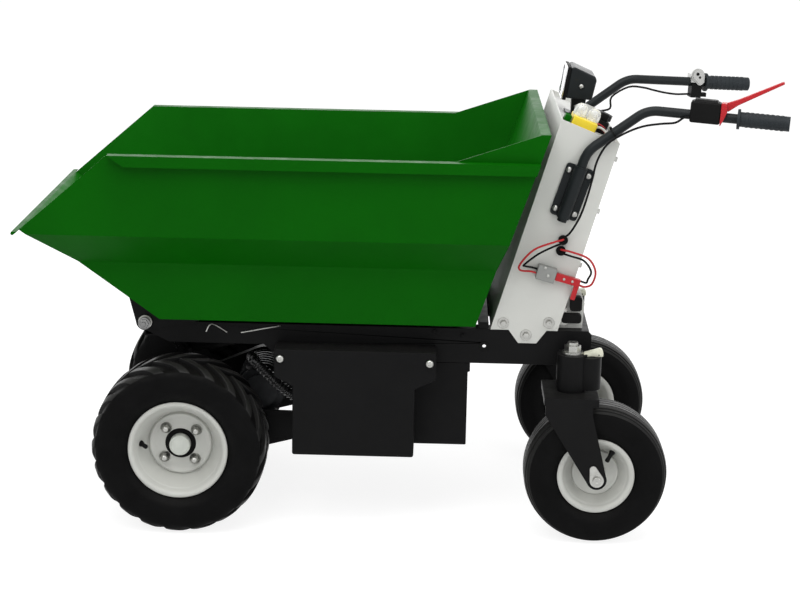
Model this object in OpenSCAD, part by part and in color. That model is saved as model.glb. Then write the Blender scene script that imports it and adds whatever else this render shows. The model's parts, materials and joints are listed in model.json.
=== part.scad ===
// Walk-behind battery site dumper: a tipping skip on two driven front wheels and two rear casters,
// steered by a pair of handlebars on a control console. Millimetres, +X forward, +Y left, +Z up.
// The origin is on the ground under the middle of the overall length and width.

/* [Overall] */
// Length from the lip of the skip to the ends of the grips
overall_length = 1720; // [1700:5:1780]
// Lip of the skip ahead of the front axle
lip_reach = 362; // [355:1:370]
// Swivel pins of the casters ahead of the ends of the grips
pin_tail = 457; // [440:1:462]

/* [Front wheels] */
// Diameter over the lugs
front_tyre_d = 406; // [396:1:410]
// Section width of the tyre
front_tyre_w = 165; // [158:1:168]
// Distance between the middles of the two tyres
front_track = 534; // [526:1:540]
// Diameter over the rim flanges
front_rim_d = 231; // [224:1:236]
// Width over the rim flanges
front_rim_w = 135; // [130:1:138]
// Pitch circle of the wheel nuts
nut_circle_d = 100; // [96:1:106]

/* [Casters] */
// Diameter of the caster tyre
caster_tyre_d = 330; // [322:1:332]
// Section width of the caster tyre
caster_tyre_w = 125; // [118:1:128]
// Distance between the two swivel pins
caster_track = 564; // [560:1:570]
// Axle behind the swivel pin
caster_trail = 62; // [56:1:66]
// Diameter over the caster's rim flanges
caster_rim_d = 178; // [172:1:182]
// Width over the caster's rim flanges
caster_rim_w = 98; // [94:1:100]

/* [Skip] */
// Underside of the floor above the ground
floor_z = 500; // [498:1:505]
// Top of the rim above the ground
rim_z = 893; // [880:1:905]
// Top of the raised back above the rim
back_rise = 64; // [55:1:75]
// Width over the upper walls
skip_w = 690; // [680:2:700]
// Width over the lower walls
skip_low_w = 556; // [548:2:564]
// Lower fold of the side walls above the floor
fold_low = 132; // [125:1:140]
// Upper fold of the side walls above the floor
fold_high = 207; // [200:1:215]
// Front end of the floor ahead of the front axle
floor_front = 46; // [42:1:50]
// Rear end of the floor ahead of the ends of the grips
floor_tail = 681; // [678:1:690]
// Front top corner of the side walls ahead of the front axle
rim_front = 147; // [140:1:155]
// Backward lean of the rear edge in degrees
back_lean = 18.6; // [18:0.1:18.8]
// Sheet thickness of the skip
skip_sheet = 3; // [2.5:0.5:4]
// Height of the chute's lip above the ground
lip_z = 717; // [712:1:722]
// Width of the folded rim
rim_fold_w = 22; // [18:1:26]
// Height of the folded rim
rim_fold_h = 25; // [20:1:30]
// Width over the lip bar
lip_bar_w = 752; // [748:1:760]

/* [Chassis] */
// Top of the side rails above the ground
rail_top = 483; // [480:1:485]
// Height of the side rails at the rear
rail_h = 83; // [80:1:86]
// Height of the side rails over the front wheels
rail_front_h = 50; // [46:1:54]
// Width over the two rails
frame_w = 464; // [460:1:468]
// Flange width of the rails
rail_flange = 40; // [35:1:45]
// Plate thickness of the rails
rail_plate = 5; // [4:0.5:6]
// Tipping pivot ahead of the front axle
pivot_ahead = 84; // [82:1:88]
// Tipping pivot above the ground
pivot_z = 484; // [483:1:486]
// Diameter of the tipping pivot pins
pivot_pin_d = 20; // [18:1:22]
// Diameter of the lashing holes in the rails
lashing_hole_d = 16; // [14:1:18]

/* [Console] */
// Width over the console's side plates
console_w = 470; // [468:1:476]
// Height of the console's front top corner
console_top = 976; // [966:1:986]
// Depth of the console at its foot
console_foot = 155; // [150:1:160]
// Depth of the console at its top, along the ground
console_head = 133; // [128:1:138]
// Lean of the console's front in degrees
console_lean = 16.4; // [16:0.1:16.8]
// Sheet thickness of the console
console_sheet = 3; // [2:0.5:4]

/* [Handlebars] */
// Diameter of the handlebar tube
handle_d = 22; // [20:1:24]
// Diameter of the grips
grip_d = 33; // [31:1:35]
// Length of the grips
grip_l = 115; // [110:1:120]
// Distance between the outer ends of the grips, middle to middle
grip_spread = 622; // [612:2:632]
// Height of the upper bend of the handlebars
handle_z = 1003; // [995:1:1012]
// Height of the grips' rear ends
grip_z = 988; // [982:1:996]

/* [Fits] */
// Radial play of a shaft in its bore
shaft_play = 0.1; // [0.05:0.01:0.1]
// Gap between neighbouring pieces that don't move
seat_gap = 0.3; // [0.2:0.05:0.4]

/* [Hidden] */
$fn = 48;

LEFT = 1;
RIGHT = -1;

green = [0.06, 0.36, 0.06];
black = [0.04, 0.04, 0.045];
rubber = [0.03, 0.03, 0.03];
white = [0.78, 0.78, 0.74];
zinc = [0.66, 0.67, 0.66];
red = [0.75, 0.04, 0.05];
yellow = [0.9, 0.75, 0.08];

// Stations along the length: the front ones from the axle, the rear ones from the ends of the grips
axle_x = overall_length / 2 - lip_reach;
pivot_x = axle_x + pivot_ahead;
function behind(d) = axle_x - d;
function aft(d) = d - overall_length / 2;
pin_x = aft(pin_tail);

// Skip outline
lip_back = 13;
lip_x = overall_length / 2 - lip_back;
floor_front_x = axle_x + floor_front;
floor_rear_x = aft(floor_tail);
rim_front_x = axle_x + rim_front;
back_z = rim_z + back_rise;
function back_edge_x(z) = floor_rear_x - (z - floor_z) * tan(back_lean);
back_inset = 20;
gusset_run = 187;
half_top = skip_w / 2;
half_low = skip_low_w / 2;
chute_angle = atan2(lip_z - floor_z, lip_x - floor_front_x);
function chute_z(x) = floor_z + (x - floor_front_x) * tan(chute_angle);
fold_angle = atan2(half_top - half_low, fold_high - fold_low);
fold_shift = skip_sheet * tan(fold_angle / 2);

// Chassis
rail_y = frame_w / 2;
lug_gap = 4;
lug_plate = 6;
rail_step = 190;
rail_step_run = 35;
battery_front_x = behind(258);
battery_rear_x = floor_rear_x + 13;
battery_l = battery_front_x - battery_rear_x;
battery_bottom = 200;
cover_out = 68;

// Front axle
front_r = front_tyre_d / 2;
front_y = front_track / 2;
axle_tube_end = front_y - front_tyre_w / 2;
axle_tube_r = 30;
half_shaft_r = 15;
hanger_inset = 44.5;
hanger_y = axle_tube_end - hanger_inset;
hanger_plate = 8;
hanger_r = 46;
motor_x = behind(172);
motor_z = 285;

// Casters
caster_r = caster_tyre_d / 2;
caster_y = caster_track / 2;
caster_axle_x = pin_x - caster_trail;
crown_gap = 10;
crown_h = 17;
crown_top = caster_tyre_d + crown_gap + crown_h;
bearing_h = 6;
housing_bottom = crown_top + bearing_h;
housing_h = 81;
housing_top = housing_bottom + housing_h;
housing_r = 35;
king_r = 12;
fork_clear = 7.5;
fork_plate = 6;
fork_half = caster_tyre_w / 2 + fork_clear;
caster_axle_r = 10;

// Console
console_half = console_w / 2;
console_tail = 645;
console_foot_x = aft(console_tail);
function from_foot(d) = console_foot_x - d;
console_rear_x = console_foot_x - console_foot;
console_head_x = console_foot_x - (console_top - rail_top) * tan(console_lean);
console_back_drop = 53;

// Ram
ram_base_x = axle_x + 30;
ram_base_z = 363;
ram_eye_x = behind(255);
ram_eye_z = 423;
ram_angle = atan2(ram_eye_z - ram_base_z, ram_base_x - ram_eye_x);
ram_length = norm([ram_base_x - ram_eye_x, ram_eye_z - ram_base_z]);
ram_eye_half = 25;
ram_pin_r = 8;
ram_rod_r = 12;

// A plate with its outline in the XZ plane, from y0 to y1
module xz_plate(points, y0, y1) {
    translate([0, y1, 0]) rotate([90, 0, 0]) linear_extrude(y1 - y0) polygon(points);
}

// A round bar along Y
module y_bar(x, z, r, y0, y1) {
    translate([x, y1, z]) rotate([90, 0, 0]) cylinder(h = y1 - y0, r = r);
}

// A box given by its two corners
module block(low, high) {
    translate(low) cube(high - low);
}

// Children as drawn on the left, or mirrored to the right
module on_side(side) {
    mirror([0, side == RIGHT ? 1 : 0, 0]) children();
}

module both_sides() {
    for (side = [LEFT, RIGHT]) on_side(side) children();
}

// A rectangle with round corners, centred
module round_rect(w, h, r) {
    square([w - 2 * r, h], center = true);
    square([w, h - 2 * r], center = true);
    for (sx = [-1, 1], sy = [-1, 1]) translate([sx * (w / 2 - r), sy * (h / 2 - r)]) circle(r);
}

// Turns the Z axis onto a direction and moves to a point
module along(start, direction) {
    d = direction / norm(direction);
    translate(start) rotate([0, acos(d[2]), atan2(d[1], d[0])]) children();
}

// Points along a path whose inner corners are bent to a radius
function unit(v) = v / norm(v);
function turn(a, b, c) = acos(unit(b - a) * unit(c - b));
function arc_points(a, b, c, bend_r, steps) =
    let (d_in = unit(b - a), d_out = unit(c - b), cut = bend_r * tan(turn(a, b, c) / 2),
        inward = cross(unit(cross(d_in, d_out)), d_in), start = b - d_in * cut)
        [for (k = [0:steps]) let (t = turn(a, b, c) * k / steps)
            start + bend_r * (sin(t) * d_in + (1 - cos(t)) * inward)];
function bent_route(path, bend_r, steps) = concat([path[0]],
    [for (i = [1:len(path) - 2]) each arc_points(path[i - 1], path[i], path[i + 1], bend_r, steps)],
    [path[len(path) - 1]]);

// A round bar or cable swept along the points of its route
function tangent_at(p, i) = unit(p[min(i + 1, len(p) - 1)] - p[max(i - 1, 0)]);
function across(t) = unit(cross(t, abs(t[1]) < 0.9 ? [0, 1, 0] : [1, 0, 0]));
module cable(route, r, sides = 8) {
    n = len(route);
    rings = [for (i = [0:n - 1])
        let (t = tangent_at(route, i), u = across(t), v = cross(t, u))
            for (k = [0:sides - 1])
                route[i] + r * (cos(k * 360 / sides) * u + sin(k * 360 / sides) * v)];
    walls = [for (i = [0:n - 2], k = [0:sides - 1])
        [i * sides + k, i * sides + (k + 1) % sides,
            (i + 1) * sides + (k + 1) % sides, (i + 1) * sides + k]];
    ends = [[for (k = [sides - 1:-1:0]) k], [for (k = [0:sides - 1]) (n - 1) * sides + k]];
    polyhedron(rings, concat(walls, ends), convexity = 6);
}

// Points of a smooth curve through the given ones
function spline_point(p, i, t) =
    let (a = p[max(i - 1, 0)], b = p[i], c = p[i + 1], d = p[min(i + 2, len(p) - 1)])
        0.5 * (2 * b + (c - a) * t + (2 * a - 5 * b + 4 * c - d) * t * t
            + (3 * b - a - 3 * c + d) * t * t * t);
function smooth(p, steps) = concat(
    [for (i = [0:len(p) - 2], k = [0:steps - 1]) spline_point(p, i, k / steps)], [p[len(p) - 1]]);

// Chassis rails: folded channels with the tipping pivot at the front end
module rail(side) {
    low = rail_top - rail_h;
    front_low = rail_top - rail_front_h;
    nose_r = 24;
    end_x = pin_x - 46;
    step_front = behind(rail_step);
    step_rear = behind(rail_step + rail_step_run);
    flange_front = behind(-30);
    color(black) on_side(side) difference() {
        union() {
            xz_plate([[pivot_x, pivot_z - nose_r], [pivot_x, pivot_z], [pivot_x - 10, rail_top],
                [end_x + 8, rail_top], [end_x, rail_top - 8], [end_x, low], [step_rear, low],
                [step_front, front_low], [axle_x + 30, front_low]], rail_y - rail_plate, rail_y);
            y_bar(pivot_x, pivot_z, nose_r, rail_y - rail_plate, rail_y);
            block([end_x + 8, rail_y - rail_flange, rail_top - rail_plate], [flange_front, rail_y, rail_top]);
            block([end_x, rail_y - rail_flange, low], [step_rear, rail_y, low + rail_plate]);
            block([step_front, rail_y - rail_flange, front_low],
                [flange_front, rail_y, front_low + rail_plate]);
        }
        y_bar(pivot_x, pivot_z, pivot_pin_d / 2 + shaft_play, rail_y - 2 * rail_plate, rail_y + rail_plate);
        y_bar(floor_rear_x - 23, rail_top - rail_h / 2, lashing_hole_d / 2,
            rail_y - 2 * rail_plate, rail_y + rail_plate);
    }
}

// Front crossmember with the hangers of the axle, their rear arms and the clevis of the ram
module front_crossmember() {
    x0 = axle_x + 50;
    x1 = axle_x + 90;
    z0 = rail_top - 37;
    z1 = rail_top - 15;
    half = rail_y - rail_plate;
    color(black) {
        difference() {
            union() {
                difference() {
                    block([x0, -half, z0], [x1, half, z1]);
                    block([x0 + 4, -half - 1, z0 + 4], [x1 - 4, half + 1, z1 - 4]);
                }
                both_sides() {
                    xz_plate([[x0, z0 + 2], [x1, z0 + 2], [x1, z0 - 30], [axle_x + hanger_r, front_r],
                        [axle_x - hanger_r, front_r], [axle_x - hanger_r, front_r + 40]],
                        hanger_y, hanger_y + hanger_plate);
                    y_bar(axle_x, front_r, hanger_r, hanger_y, hanger_y + hanger_plate);
                    xz_plate([[axle_x - 10, front_r + 44], [axle_x - 10, front_r - 44],
                        [behind(194), front_r - 43], [battery_front_x + seat_gap, front_r - 26],
                        [battery_front_x + seat_gap, front_r + 42]], hanger_y, hanger_y + hanger_plate);
                    xz_plate([[x0 + 4, z0 + 2], [x1 - 4, z0 + 2], [ram_base_x + 16, ram_base_z],
                        [ram_base_x - 16, ram_base_z]], ram_eye_half + 1, ram_eye_half + 9);
                    y_bar(ram_base_x, ram_base_z, 18, ram_eye_half + 1, ram_eye_half + 9);
                }
                y_bar(ram_base_x, ram_base_z, ram_pin_r, -ram_eye_half - 16, ram_eye_half + 16);
            }
            both_sides() y_bar(axle_x, front_r, axle_tube_r + seat_gap,
                hanger_y - 5, hanger_y + hanger_plate + 5);
        }
    }
}

// Rear crossmember under the console's foot and between the casters
module rear_crossmember() {
    x0 = pin_x - 42;
    x1 = pin_x + 20;
    z0 = rail_top - rail_h + rail_plate;
    z1 = rail_top - rail_plate;
    half = rail_y - rail_plate;
    color(black) difference() {
        block([x0, -half, z0], [x1, half, z1]);
        block([x0 - 1, -half - 1, z0 + 5], [x1 - 5, half + 1, z1 - 5]);
    }
}

// Front axle: gear case, two tubes and the plate that carries the motor
module axle_housing() {
    color(black) difference() {
        union() {
            y_bar(axle_x, front_r, 78, -62, 62);
            y_bar(axle_x, front_r, axle_tube_r, -axle_tube_end, axle_tube_end);
            both_sides() y_bar(axle_x, front_r, axle_tube_r + 9, axle_tube_end - 12, axle_tube_end);
            y_bar(motor_x, motor_z, 66, -62, -38);
            xz_plate([[axle_x + 10, front_r + 77], [motor_x + 20, motor_z + 62],
                [motor_x + 10, motor_z - 65], [axle_x - 20, front_r - 75]], -62, -38);
        }
        both_sides() y_bar(axle_x, front_r, half_shaft_r + shaft_play, axle_tube_end - 90, axle_tube_end + 1);
    }
}

// Drive motor with cooling ribs, bolted to the gear case
module drive_motor() {
    color([0.16, 0.16, 0.17]) {
        y_bar(motor_x, motor_z, 56, -38 + seat_gap, 112);
        for (k = [0:6]) y_bar(motor_x, motor_z, 61, -30 + 19 * k, -24 + 19 * k);
        y_bar(motor_x, motor_z, 40, 100, 122);
    }
}

// Closed battery case slung under the rails
module battery_case() {
    z1 = rail_top - rail_h;
    color(black) {
        block([battery_rear_x, -rail_y, battery_bottom], [battery_front_x, rail_y, z1 - 22]);
        block([battery_rear_x - 5, -rail_y, z1 - 22], [battery_front_x + 5, rail_y, z1 - seat_gap]);
    }
}

// Side cover of the battery, funnel-shaped
module battery_cover(side) {
    y0 = rail_y + seat_gap;
    top = rail_top - 42;
    wide_z = top - 66;
    neck_z = wide_z - 22;
    low_z = battery_bottom - 11;
    front = battery_front_x + 40;
    low_front = battery_front_x - 3;
    low_rear = battery_front_x - 0.7 * battery_l;
    rear = battery_front_x - 0.818 * battery_l;
    color(black) on_side(side) xz_plate([[front, top], [front, wide_z], [low_front, neck_z], [low_front, low_z],
        [low_rear, low_z], [low_rear, neck_z], [rear, wide_z], [rear, top]], y0, y0 + cover_out);
}

// Rubber pads that the lowered skip rests on, and the bar across the rails behind it
module rest_pads() {
    color(rubber) both_sides()
        block([floor_rear_x + 47, rail_y - 34, rail_top], [floor_rear_x + 97, rail_y - 6, floor_z - seat_gap]);
}

module rest_bar() {
    color(black) block([console_foot_x + 4, -rail_y, rail_top + seat_gap],
        [floor_rear_x - 8, rail_y, rail_top + 16]);
}

// Console: front and side plates of one folded sheet
function console_front_x(z) = console_foot_x - (z - rail_top) * tan(console_lean);
console_rear_top_x = console_head_x - console_head;
console_rear_top = console_top - console_back_drop;
function console_back_x(z) = console_rear_x
    + (console_rear_top_x - console_rear_x) * (z - rail_top) / (console_rear_top - rail_top);
module console_shell() {
    t = console_sheet;
    tab = rail_top - 31;
    color(white) {
        both_sides() xz_plate([[console_foot_x, rail_top], [console_foot_x - 42, rail_top],
            [console_foot_x - 65, tab], [console_foot_x - 107, tab], [console_foot_x - 130, rail_top],
            [console_rear_x, rail_top], [console_rear_top_x, console_rear_top],
            [console_head_x, console_top]], console_half - t, console_half);
        xz_plate([[console_foot_x, rail_top], [console_foot_x - t, rail_top],
            [console_head_x - t, console_top], [console_head_x, console_top]],
            -console_half + t, console_half - t);
    }
}

module console_rear_cover() {
    t = console_sheet;
    half = console_half - t - seat_gap;
    color(white) xz_plate([[console_rear_x, rail_top], [console_rear_top_x, console_rear_top],
        [console_rear_top_x + t, console_rear_top], [console_rear_x + t, rail_top]], -half, half);
}

// Things on the console's sloping top: X runs forward up the slope, Z stands off it
top_slope = atan2(console_back_drop, console_head);
top_run = norm([console_back_drop, console_head]);
top_recess = 10;
module on_top() {
    translate([console_head_x, 0, console_top]) rotate([0, -top_slope, 0]) children();
}

module console_top() {
    half = console_half - console_sheet - seat_gap;
    color([0.62, 0.62, 0.6]) on_top()
        block([-top_run + 5, -half, -top_recess - 3], [-6, half, -top_recess]);
}

// Bracket with the charging socket behind the console's foot
module charge_bracket() {
    y0 = rail_y - 30;
    color(white) xz_plate([[console_back_x(rail_top) - 1, rail_top], [from_foot(213), rail_top],
        [from_foot(217), rail_top + 60], [from_foot(199), rail_top + 108],
        [console_back_x(rail_top + 110) - 1, rail_top + 110]], y0, y0 + 4);
}

module charge_socket() {
    y0 = rail_y - 26;
    color(rubber) {
        translate([from_foot(196), y0 + 18, rail_top + 62]) rotate([90, 0, 0]) linear_extrude(18 - seat_gap)
            round_rect(28, 34, 7);
        translate([from_foot(187), y0 + 14, rail_top + 26]) rotate([90, 0, 0]) linear_extrude(14 - seat_gap)
            round_rect(46, 22, 7);
    }
}

// Handlebars: bent tubes held by a clamp on each side of the console
clamp_z = 811;
clamp_share = 0.516;
clamp_tilt = 17.6;
handle_r = handle_d / 2;
handle_bend_r = 70;
handle_y = console_half + handle_r + 1;
clamp_half = 62;
handle_dir = [-sin(clamp_tilt), 0, cos(clamp_tilt)];
clamp_mid = [console_front_x(clamp_z) * (1 - clamp_share) + console_back_x(clamp_z) * clamp_share,
    handle_y, clamp_z];
grip_tilt_back = 0.196 * grip_d / 2;
handle_end = [-overall_length / 2 + grip_tilt_back, grip_spread / 2, grip_z];
handle_bend_low = clamp_mid + handle_dir * 99.7;
handle_bend_high = [from_foot(334), handle_y + 3, handle_z];
handle_path = [clamp_mid - handle_dir * 70, handle_bend_low, handle_bend_high,
    handle_end + unit(handle_bend_high - handle_end) * 5];
grip_dir = unit(handle_end - handle_bend_high);
top_run_l = norm(handle_end - handle_bend_high);
// A place on the straight top run of the left handlebar: X down, Y inward, Z rearward
module on_handle(s) {
    along(handle_bend_high + grip_dir * s, grip_dir) children();
}

module handle_clamps() {
    color(black) both_sides() difference() {
        translate(clamp_mid) rotate([0, -clamp_tilt, 0]) union() {
            translate([0, -handle_r - 1 + 5, 0]) rotate([90, 0, 0]) linear_extrude(5 - seat_gap)
                round_rect(64, 2 * clamp_half, 8);
            intersection() {
                translate([0, 0, -clamp_half]) cylinder(h = 2 * clamp_half, r = handle_r + 4);
                block([-30, -handle_r - 1 + seat_gap, -90], [30, 40, 90]);
            }
        }
        translate(clamp_mid) rotate([0, -clamp_tilt, 0]) translate([0, 0, -90])
            cylinder(h = 180, r = handle_r + shaft_play);
    }
}

module handlebar(side) {
    color(black) on_side(side) cable(bent_route(handle_path, handle_bend_r, 8), handle_r, 32);
}

module grips() {
    color(rubber) both_sides() difference() {
        on_handle(top_run_l - grip_l) union() {
            cylinder(h = grip_l, r = grip_d / 2);
            cylinder(h = 6, r = grip_d / 2 + 6);
            for (k = [0:7]) translate([0, 0, 18 + 11 * k]) cylinder(h = 6, r = grip_d / 2 + 0.8);
        }
        on_handle(top_run_l - grip_l - 10) cylinder(h = grip_l + 5.5, r = handle_r + shaft_play);
    }
}

// Run lever on the left handlebar
lever_at = 95;
lever_box_l = 67;
module run_lever_housing() {
    color(rubber) difference() {
        on_handle(lever_at) union() {
            block([-32, -18, 0], [15, 20, lever_box_l]);
            block([-37, -13, 8], [-31, 13, lever_box_l - 8]);
        }
        on_handle(lever_at - 10) cylinder(h = lever_box_l + 20, r = handle_r + shaft_play);
    }
}

module run_lever() {
    color(red) on_handle(lever_at + lever_box_l + seat_gap) {
        xz_plate([[-34, 0], [-34, 12], [-43, 34], [-91, 126], [-91, 130], [-87, 131], [-31, 36], [-15, 16],
            [-15, 0]], -6, 6);
        xz_plate([[-34, 0], [-34, 12], [-15, 14], [-15, 0]], -19, 6);
        xz_plate([[-34, 0], [-34, 12], [-15, 14], [2, 8], [18, 1], [15, 0]], -19, -15);
    }
}

// Speed selector with its pear-shaped cap, and the tipping switch, on the right handlebar ahead of the grip
selector_at = top_run_l - grip_l - 39;
switch_at = selector_at + 4;
module speed_selector() {
    color(zinc) on_side(RIGHT) difference() {
        on_handle(selector_at) union() {
            block([-20, -15, 0], [0, 17, 34]);
            translate([0, 16, 0]) rotate([-90, 0, 0]) {
                linear_extrude(5) pear(0);
                linear_extrude(8) pear(3);
            }
        }
        on_handle(selector_at - 10) cylinder(h = 60, r = handle_r + shaft_play);
    }
}

// Outline of the selector's cap, drawn in by a margin
module pear(margin) {
    hull() {
        translate([-19, -15]) circle(r = 16.5 - margin);
        translate([-3, -22]) circle(r = 9 - margin);
    }
}

module tip_switch() {
    color(rubber) on_side(RIGHT) difference() {
        on_handle(switch_at) union() {
            block([seat_gap, -15, 0], [38, 15, 26]);
            block([26, -8, 25], [36, 8, 42]);
        }
        on_handle(switch_at - 10) cylinder(h = 60, r = handle_r + shaft_play);
    }
}

// Work lamp above the console
lamp_half = 52;
function lamp_pt(d, z) = [console_head_x - d, console_top + z];
module lamp_housing() {
    color(black) xz_plate([lamp_pt(18.9, 20), lamp_pt(28.9, 90), lamp_pt(36.9, 93), lamp_pt(86.9, 71),
        lamp_pt(89.9, 62), lamp_pt(79.9, 16)], -lamp_half, lamp_half);
}

module lamp_lens() {
    color([0.85, 0.87, 0.88]) xz_plate([lamp_pt(9.9, 18), lamp_pt(20.9, 92), lamp_pt(28.5, 91),
        lamp_pt(18.3, 19)], -lamp_half, lamp_half);
}

module lamp_bracket() {
    foot_z = -top_recess + seat_gap;
    color(black) difference() {
        union() {
            on_top() block([-75, -30, foot_z], [-25, 30, foot_z + 4]);
            xz_plate([lamp_pt(34.9, 18.6), lamp_pt(69.9, 16.3), lamp_pt(61.9, -41), lamp_pt(34.9, -36)],
                -12, 12);
        }
        on_top() block([-120, -60, foot_z - 60], [20, 60, foot_z]);
    }
}

// Yellow switch box with two clear caps, and the stop button
module switch_box() {
    color(yellow) on_top() block([-84, 140, -top_recess + seat_gap], [-26, 214, 16]);
}

module switch_caps() {
    color([0.85, 0.85, 0.85]) on_top() for (x = [-39, -71]) translate([x, 177, 16 + seat_gap]) {
        cylinder(h = 14, r = 15);
        translate([0, 0, 14]) intersection() {
            sphere(r = 15);
            translate([-20, -20, 0]) cube(40);
        }
    }
}

module stop_button() {
    color(black) on_top() translate([-104, 60, -top_recess + seat_gap]) {
        cylinder(h = 26, r = 16);
        translate([0, 0, 26]) cylinder(h = 14, r = 23);
    }
}

// Cable grommets in the left side plate
module grommets() {
    color(rubber) for (p = [[159, 699], [155, 674]])
        y_bar(from_foot(p[0]), p[1], 11, console_half + seat_gap, console_half + 7);
}

// Battery plug on the left side plate: connector, pull handle and the two leads
plug_mid = [from_foot(129), console_half + seat_gap, 620];
plug_front = 28;
plug_joint = -16;
plug_end = -74;
plug_tilt = 15;
module at_plug() {
    translate(plug_mid) rotate([0, -plug_tilt, 0]) children();
}

module power_connector() {
    color([0.5, 0.5, 0.5]) at_plug() block([plug_joint, 0, -17], [plug_front, 20, 17]);
}

module connector_handle() {
    color(red) at_plug() {
        block([plug_end, 4, -8.5], [plug_joint - seat_gap, 18, 8.5]);
        block([plug_end, 6, -42], [plug_end + 11, 16, -8]);
    }
}

lead_y = console_half + 12;
lead_r = 2.4;
function lead_pt(d, z, y = 0) = [from_foot(d), lead_y + y, z];
function plug_pt(x, z) = [plug_mid[0] + x * cos(plug_tilt) - z * sin(plug_tilt), lead_y,
    plug_mid[2] + x * sin(plug_tilt) + z * cos(plug_tilt)];
module leads(shift, tone, inset) {
    at = inset - 5;
    color(tone) {
        cable(smooth([lead_pt(158, 697 + shift, -4), lead_pt(157, 698 + shift, 5),
            lead_pt(137, 698 - inset, 13), lead_pt(92 + inset, 680 - inset, 16), lead_pt(62 + inset, 645, 14),
            lead_pt(64 + inset, 634 + at, 4), plug_pt(plug_front + 14, at),
            plug_pt(plug_front + 0.6, at)], 5), lead_r);
        cable(smooth([lead_pt(155, 674 + shift, -4), lead_pt(157, 675 + shift, 5),
            lead_pt(179, 676 - inset, 13), lead_pt(217 - inset, 662 - inset * 0.5, 16),
            lead_pt(234 - inset, 632, 14), lead_pt(228 - inset, 606 + at, 4), plug_pt(plug_end - 14, at),
            plug_pt(plug_end - 0.6, at)], 5), lead_r);
    }
}

module red_leads() {
    leads(4, red, 0);
}

module black_leads() {
    leads(-4, rubber, 10);
}

// Control cables along the handlebars
cable_r = 2.5;
grip_down = unit([0, 0, -1] + grip_dir * grip_dir[2]);
function under_handle(s, down, out) = handle_bend_high + grip_dir * s + grip_down * down + [0, out, 0];
module control_cables() {
    front = handle_bend_high + grip_dir * (lever_at - 0.9);
    box_exit = front + unit([grip_dir[1], -grip_dir[0], 0]) * 14 - [0, 0, 4];
    outer = handle_y + 18;
    color(rubber) {
        cable(smooth([box_exit, box_exit - grip_dir * 12 - [0, 0, 3], [from_foot(395), outer + 4, 979],
            [from_foot(363), outer, 975], [from_foot(323), outer, 968],
            [from_foot(283), outer, 951], [from_foot(247), outer, 926],
            [from_foot(226), outer, 888], [from_foot(217), outer, 846], [from_foot(207), outer, 804],
            [from_foot(194), outer - 2, 761], [from_foot(176), console_half + 14, 722],
            [from_foot(164), console_half + 11, 708.8]], 4), cable_r);
        mirror([0, 1, 0]) cable(smooth([under_handle(switch_at - 0.9, 31, 0),
            under_handle(switch_at - 14, 32, 0), under_handle(switch_at - 36, 33, 0),
            under_handle(switch_at - 66, 30, -2), under_handle(switch_at - 96, 24, -8),
            under_handle(switch_at - 122, 18, -16),
            handle_bend_high + [-2, -24, -17], handle_bend_high + [40, -40, -40],
            [console_rear_top_x - 12, console_half - 40, console_rear_top + 14],
            [console_rear_top_x + 12, console_half - 50, console_rear_top + 8],
            [console_rear_top_x + 26, console_half - 55, console_rear_top + 3]], 4), cable_r);
    }
}

// Casters: housing on the rail, lock, fork with the swivel pin, axle, rim and tyre
module caster_housings() {
    color(black) both_sides() difference() {
        union() {
            translate([pin_x, caster_y, housing_bottom]) cylinder(h = housing_h, r = housing_r);
            translate([pin_x - 40, caster_y, housing_bottom]) cylinder(h = housing_h - 5, r = 27);
            block([pin_x - 36, rail_y, rail_top - rail_h + 4], [pin_x + 28, caster_y - 15, housing_top - 6]);
        }
        translate([pin_x, caster_y, housing_bottom - 1]) cylinder(h = housing_h + 2, r = king_r + shaft_play);
    }
}

module caster_locks() {
    z0 = housing_top - 5 + seat_gap;
    color([0.8, 0.8, 0.72]) both_sides() translate([pin_x - 48, caster_y, z0]) {
        cylinder(h = 6, r = 12);
        translate([-2, 0, 6]) rotate([0, 14, 0]) translate([-24, -10, -1]) cube([34, 20, 5]);
    }
}

module caster_fork(side) {
    under = caster_tyre_d + crown_gap;
    eye = [caster_axle_x, caster_r];
    eye_r = 23;
    knee = under - 22;
    front_top = pin_x + 61;
    rear_top = pin_x - 47;
    front_n = unit([eye[1] - knee, front_top - eye[0]]) * eye_r;
    rear_n = unit([knee - eye[1], eye[0] - rear_top]) * eye_r;
    color(black) on_side(side) difference() {
        union() {
            block([pin_x - 60, caster_y - fork_half - fork_plate, under],
                [pin_x + 64, caster_y + fork_half + fork_plate, crown_top]);
            translate([pin_x, caster_y, crown_top - 1]) cylinder(h = bearing_h + 1 - seat_gap, r = 33);
            translate([pin_x, caster_y, crown_top - 1]) cylinder(h = bearing_h + housing_h + 28, r = king_r);
            translate([pin_x, caster_y, housing_top + seat_gap]) cylinder(h = 5, r = 24);
            translate([pin_x, caster_y, housing_top + 4]) cylinder(h = 16, r = 19, $fn = 6);
            for (y = [caster_y - fork_half - fork_plate, caster_y + fork_half]) {
                xz_plate([[front_top, crown_top - 2], [front_top, knee], eye - front_n, eye - rear_n,
                    [rear_top, knee], [rear_top, crown_top - 2]], y, y + fork_plate);
                y_bar(eye[0], eye[1], eye_r, y, y + fork_plate);
            }
        }
        y_bar(eye[0], eye[1], caster_axle_r + 0.05, caster_y - 2 * fork_half, caster_y + 2 * fork_half);
    }
}

// A keeper plate: a large circle at the origin, a small one beside it and the two tangents
module teardrop(big_r, small_r, tip) {
    lean = acos((big_r - small_r) / norm(tip));
    heading = atan2(tip[1], tip[0]);
    function at(r, a) = r * [cos(heading + a), sin(heading + a)];
    circle(big_r);
    translate(tip) circle(small_r);
    polygon([at(big_r, lean), tip + at(small_r, lean), tip + at(small_r, -lean), at(big_r, -lean)]);
}

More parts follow.
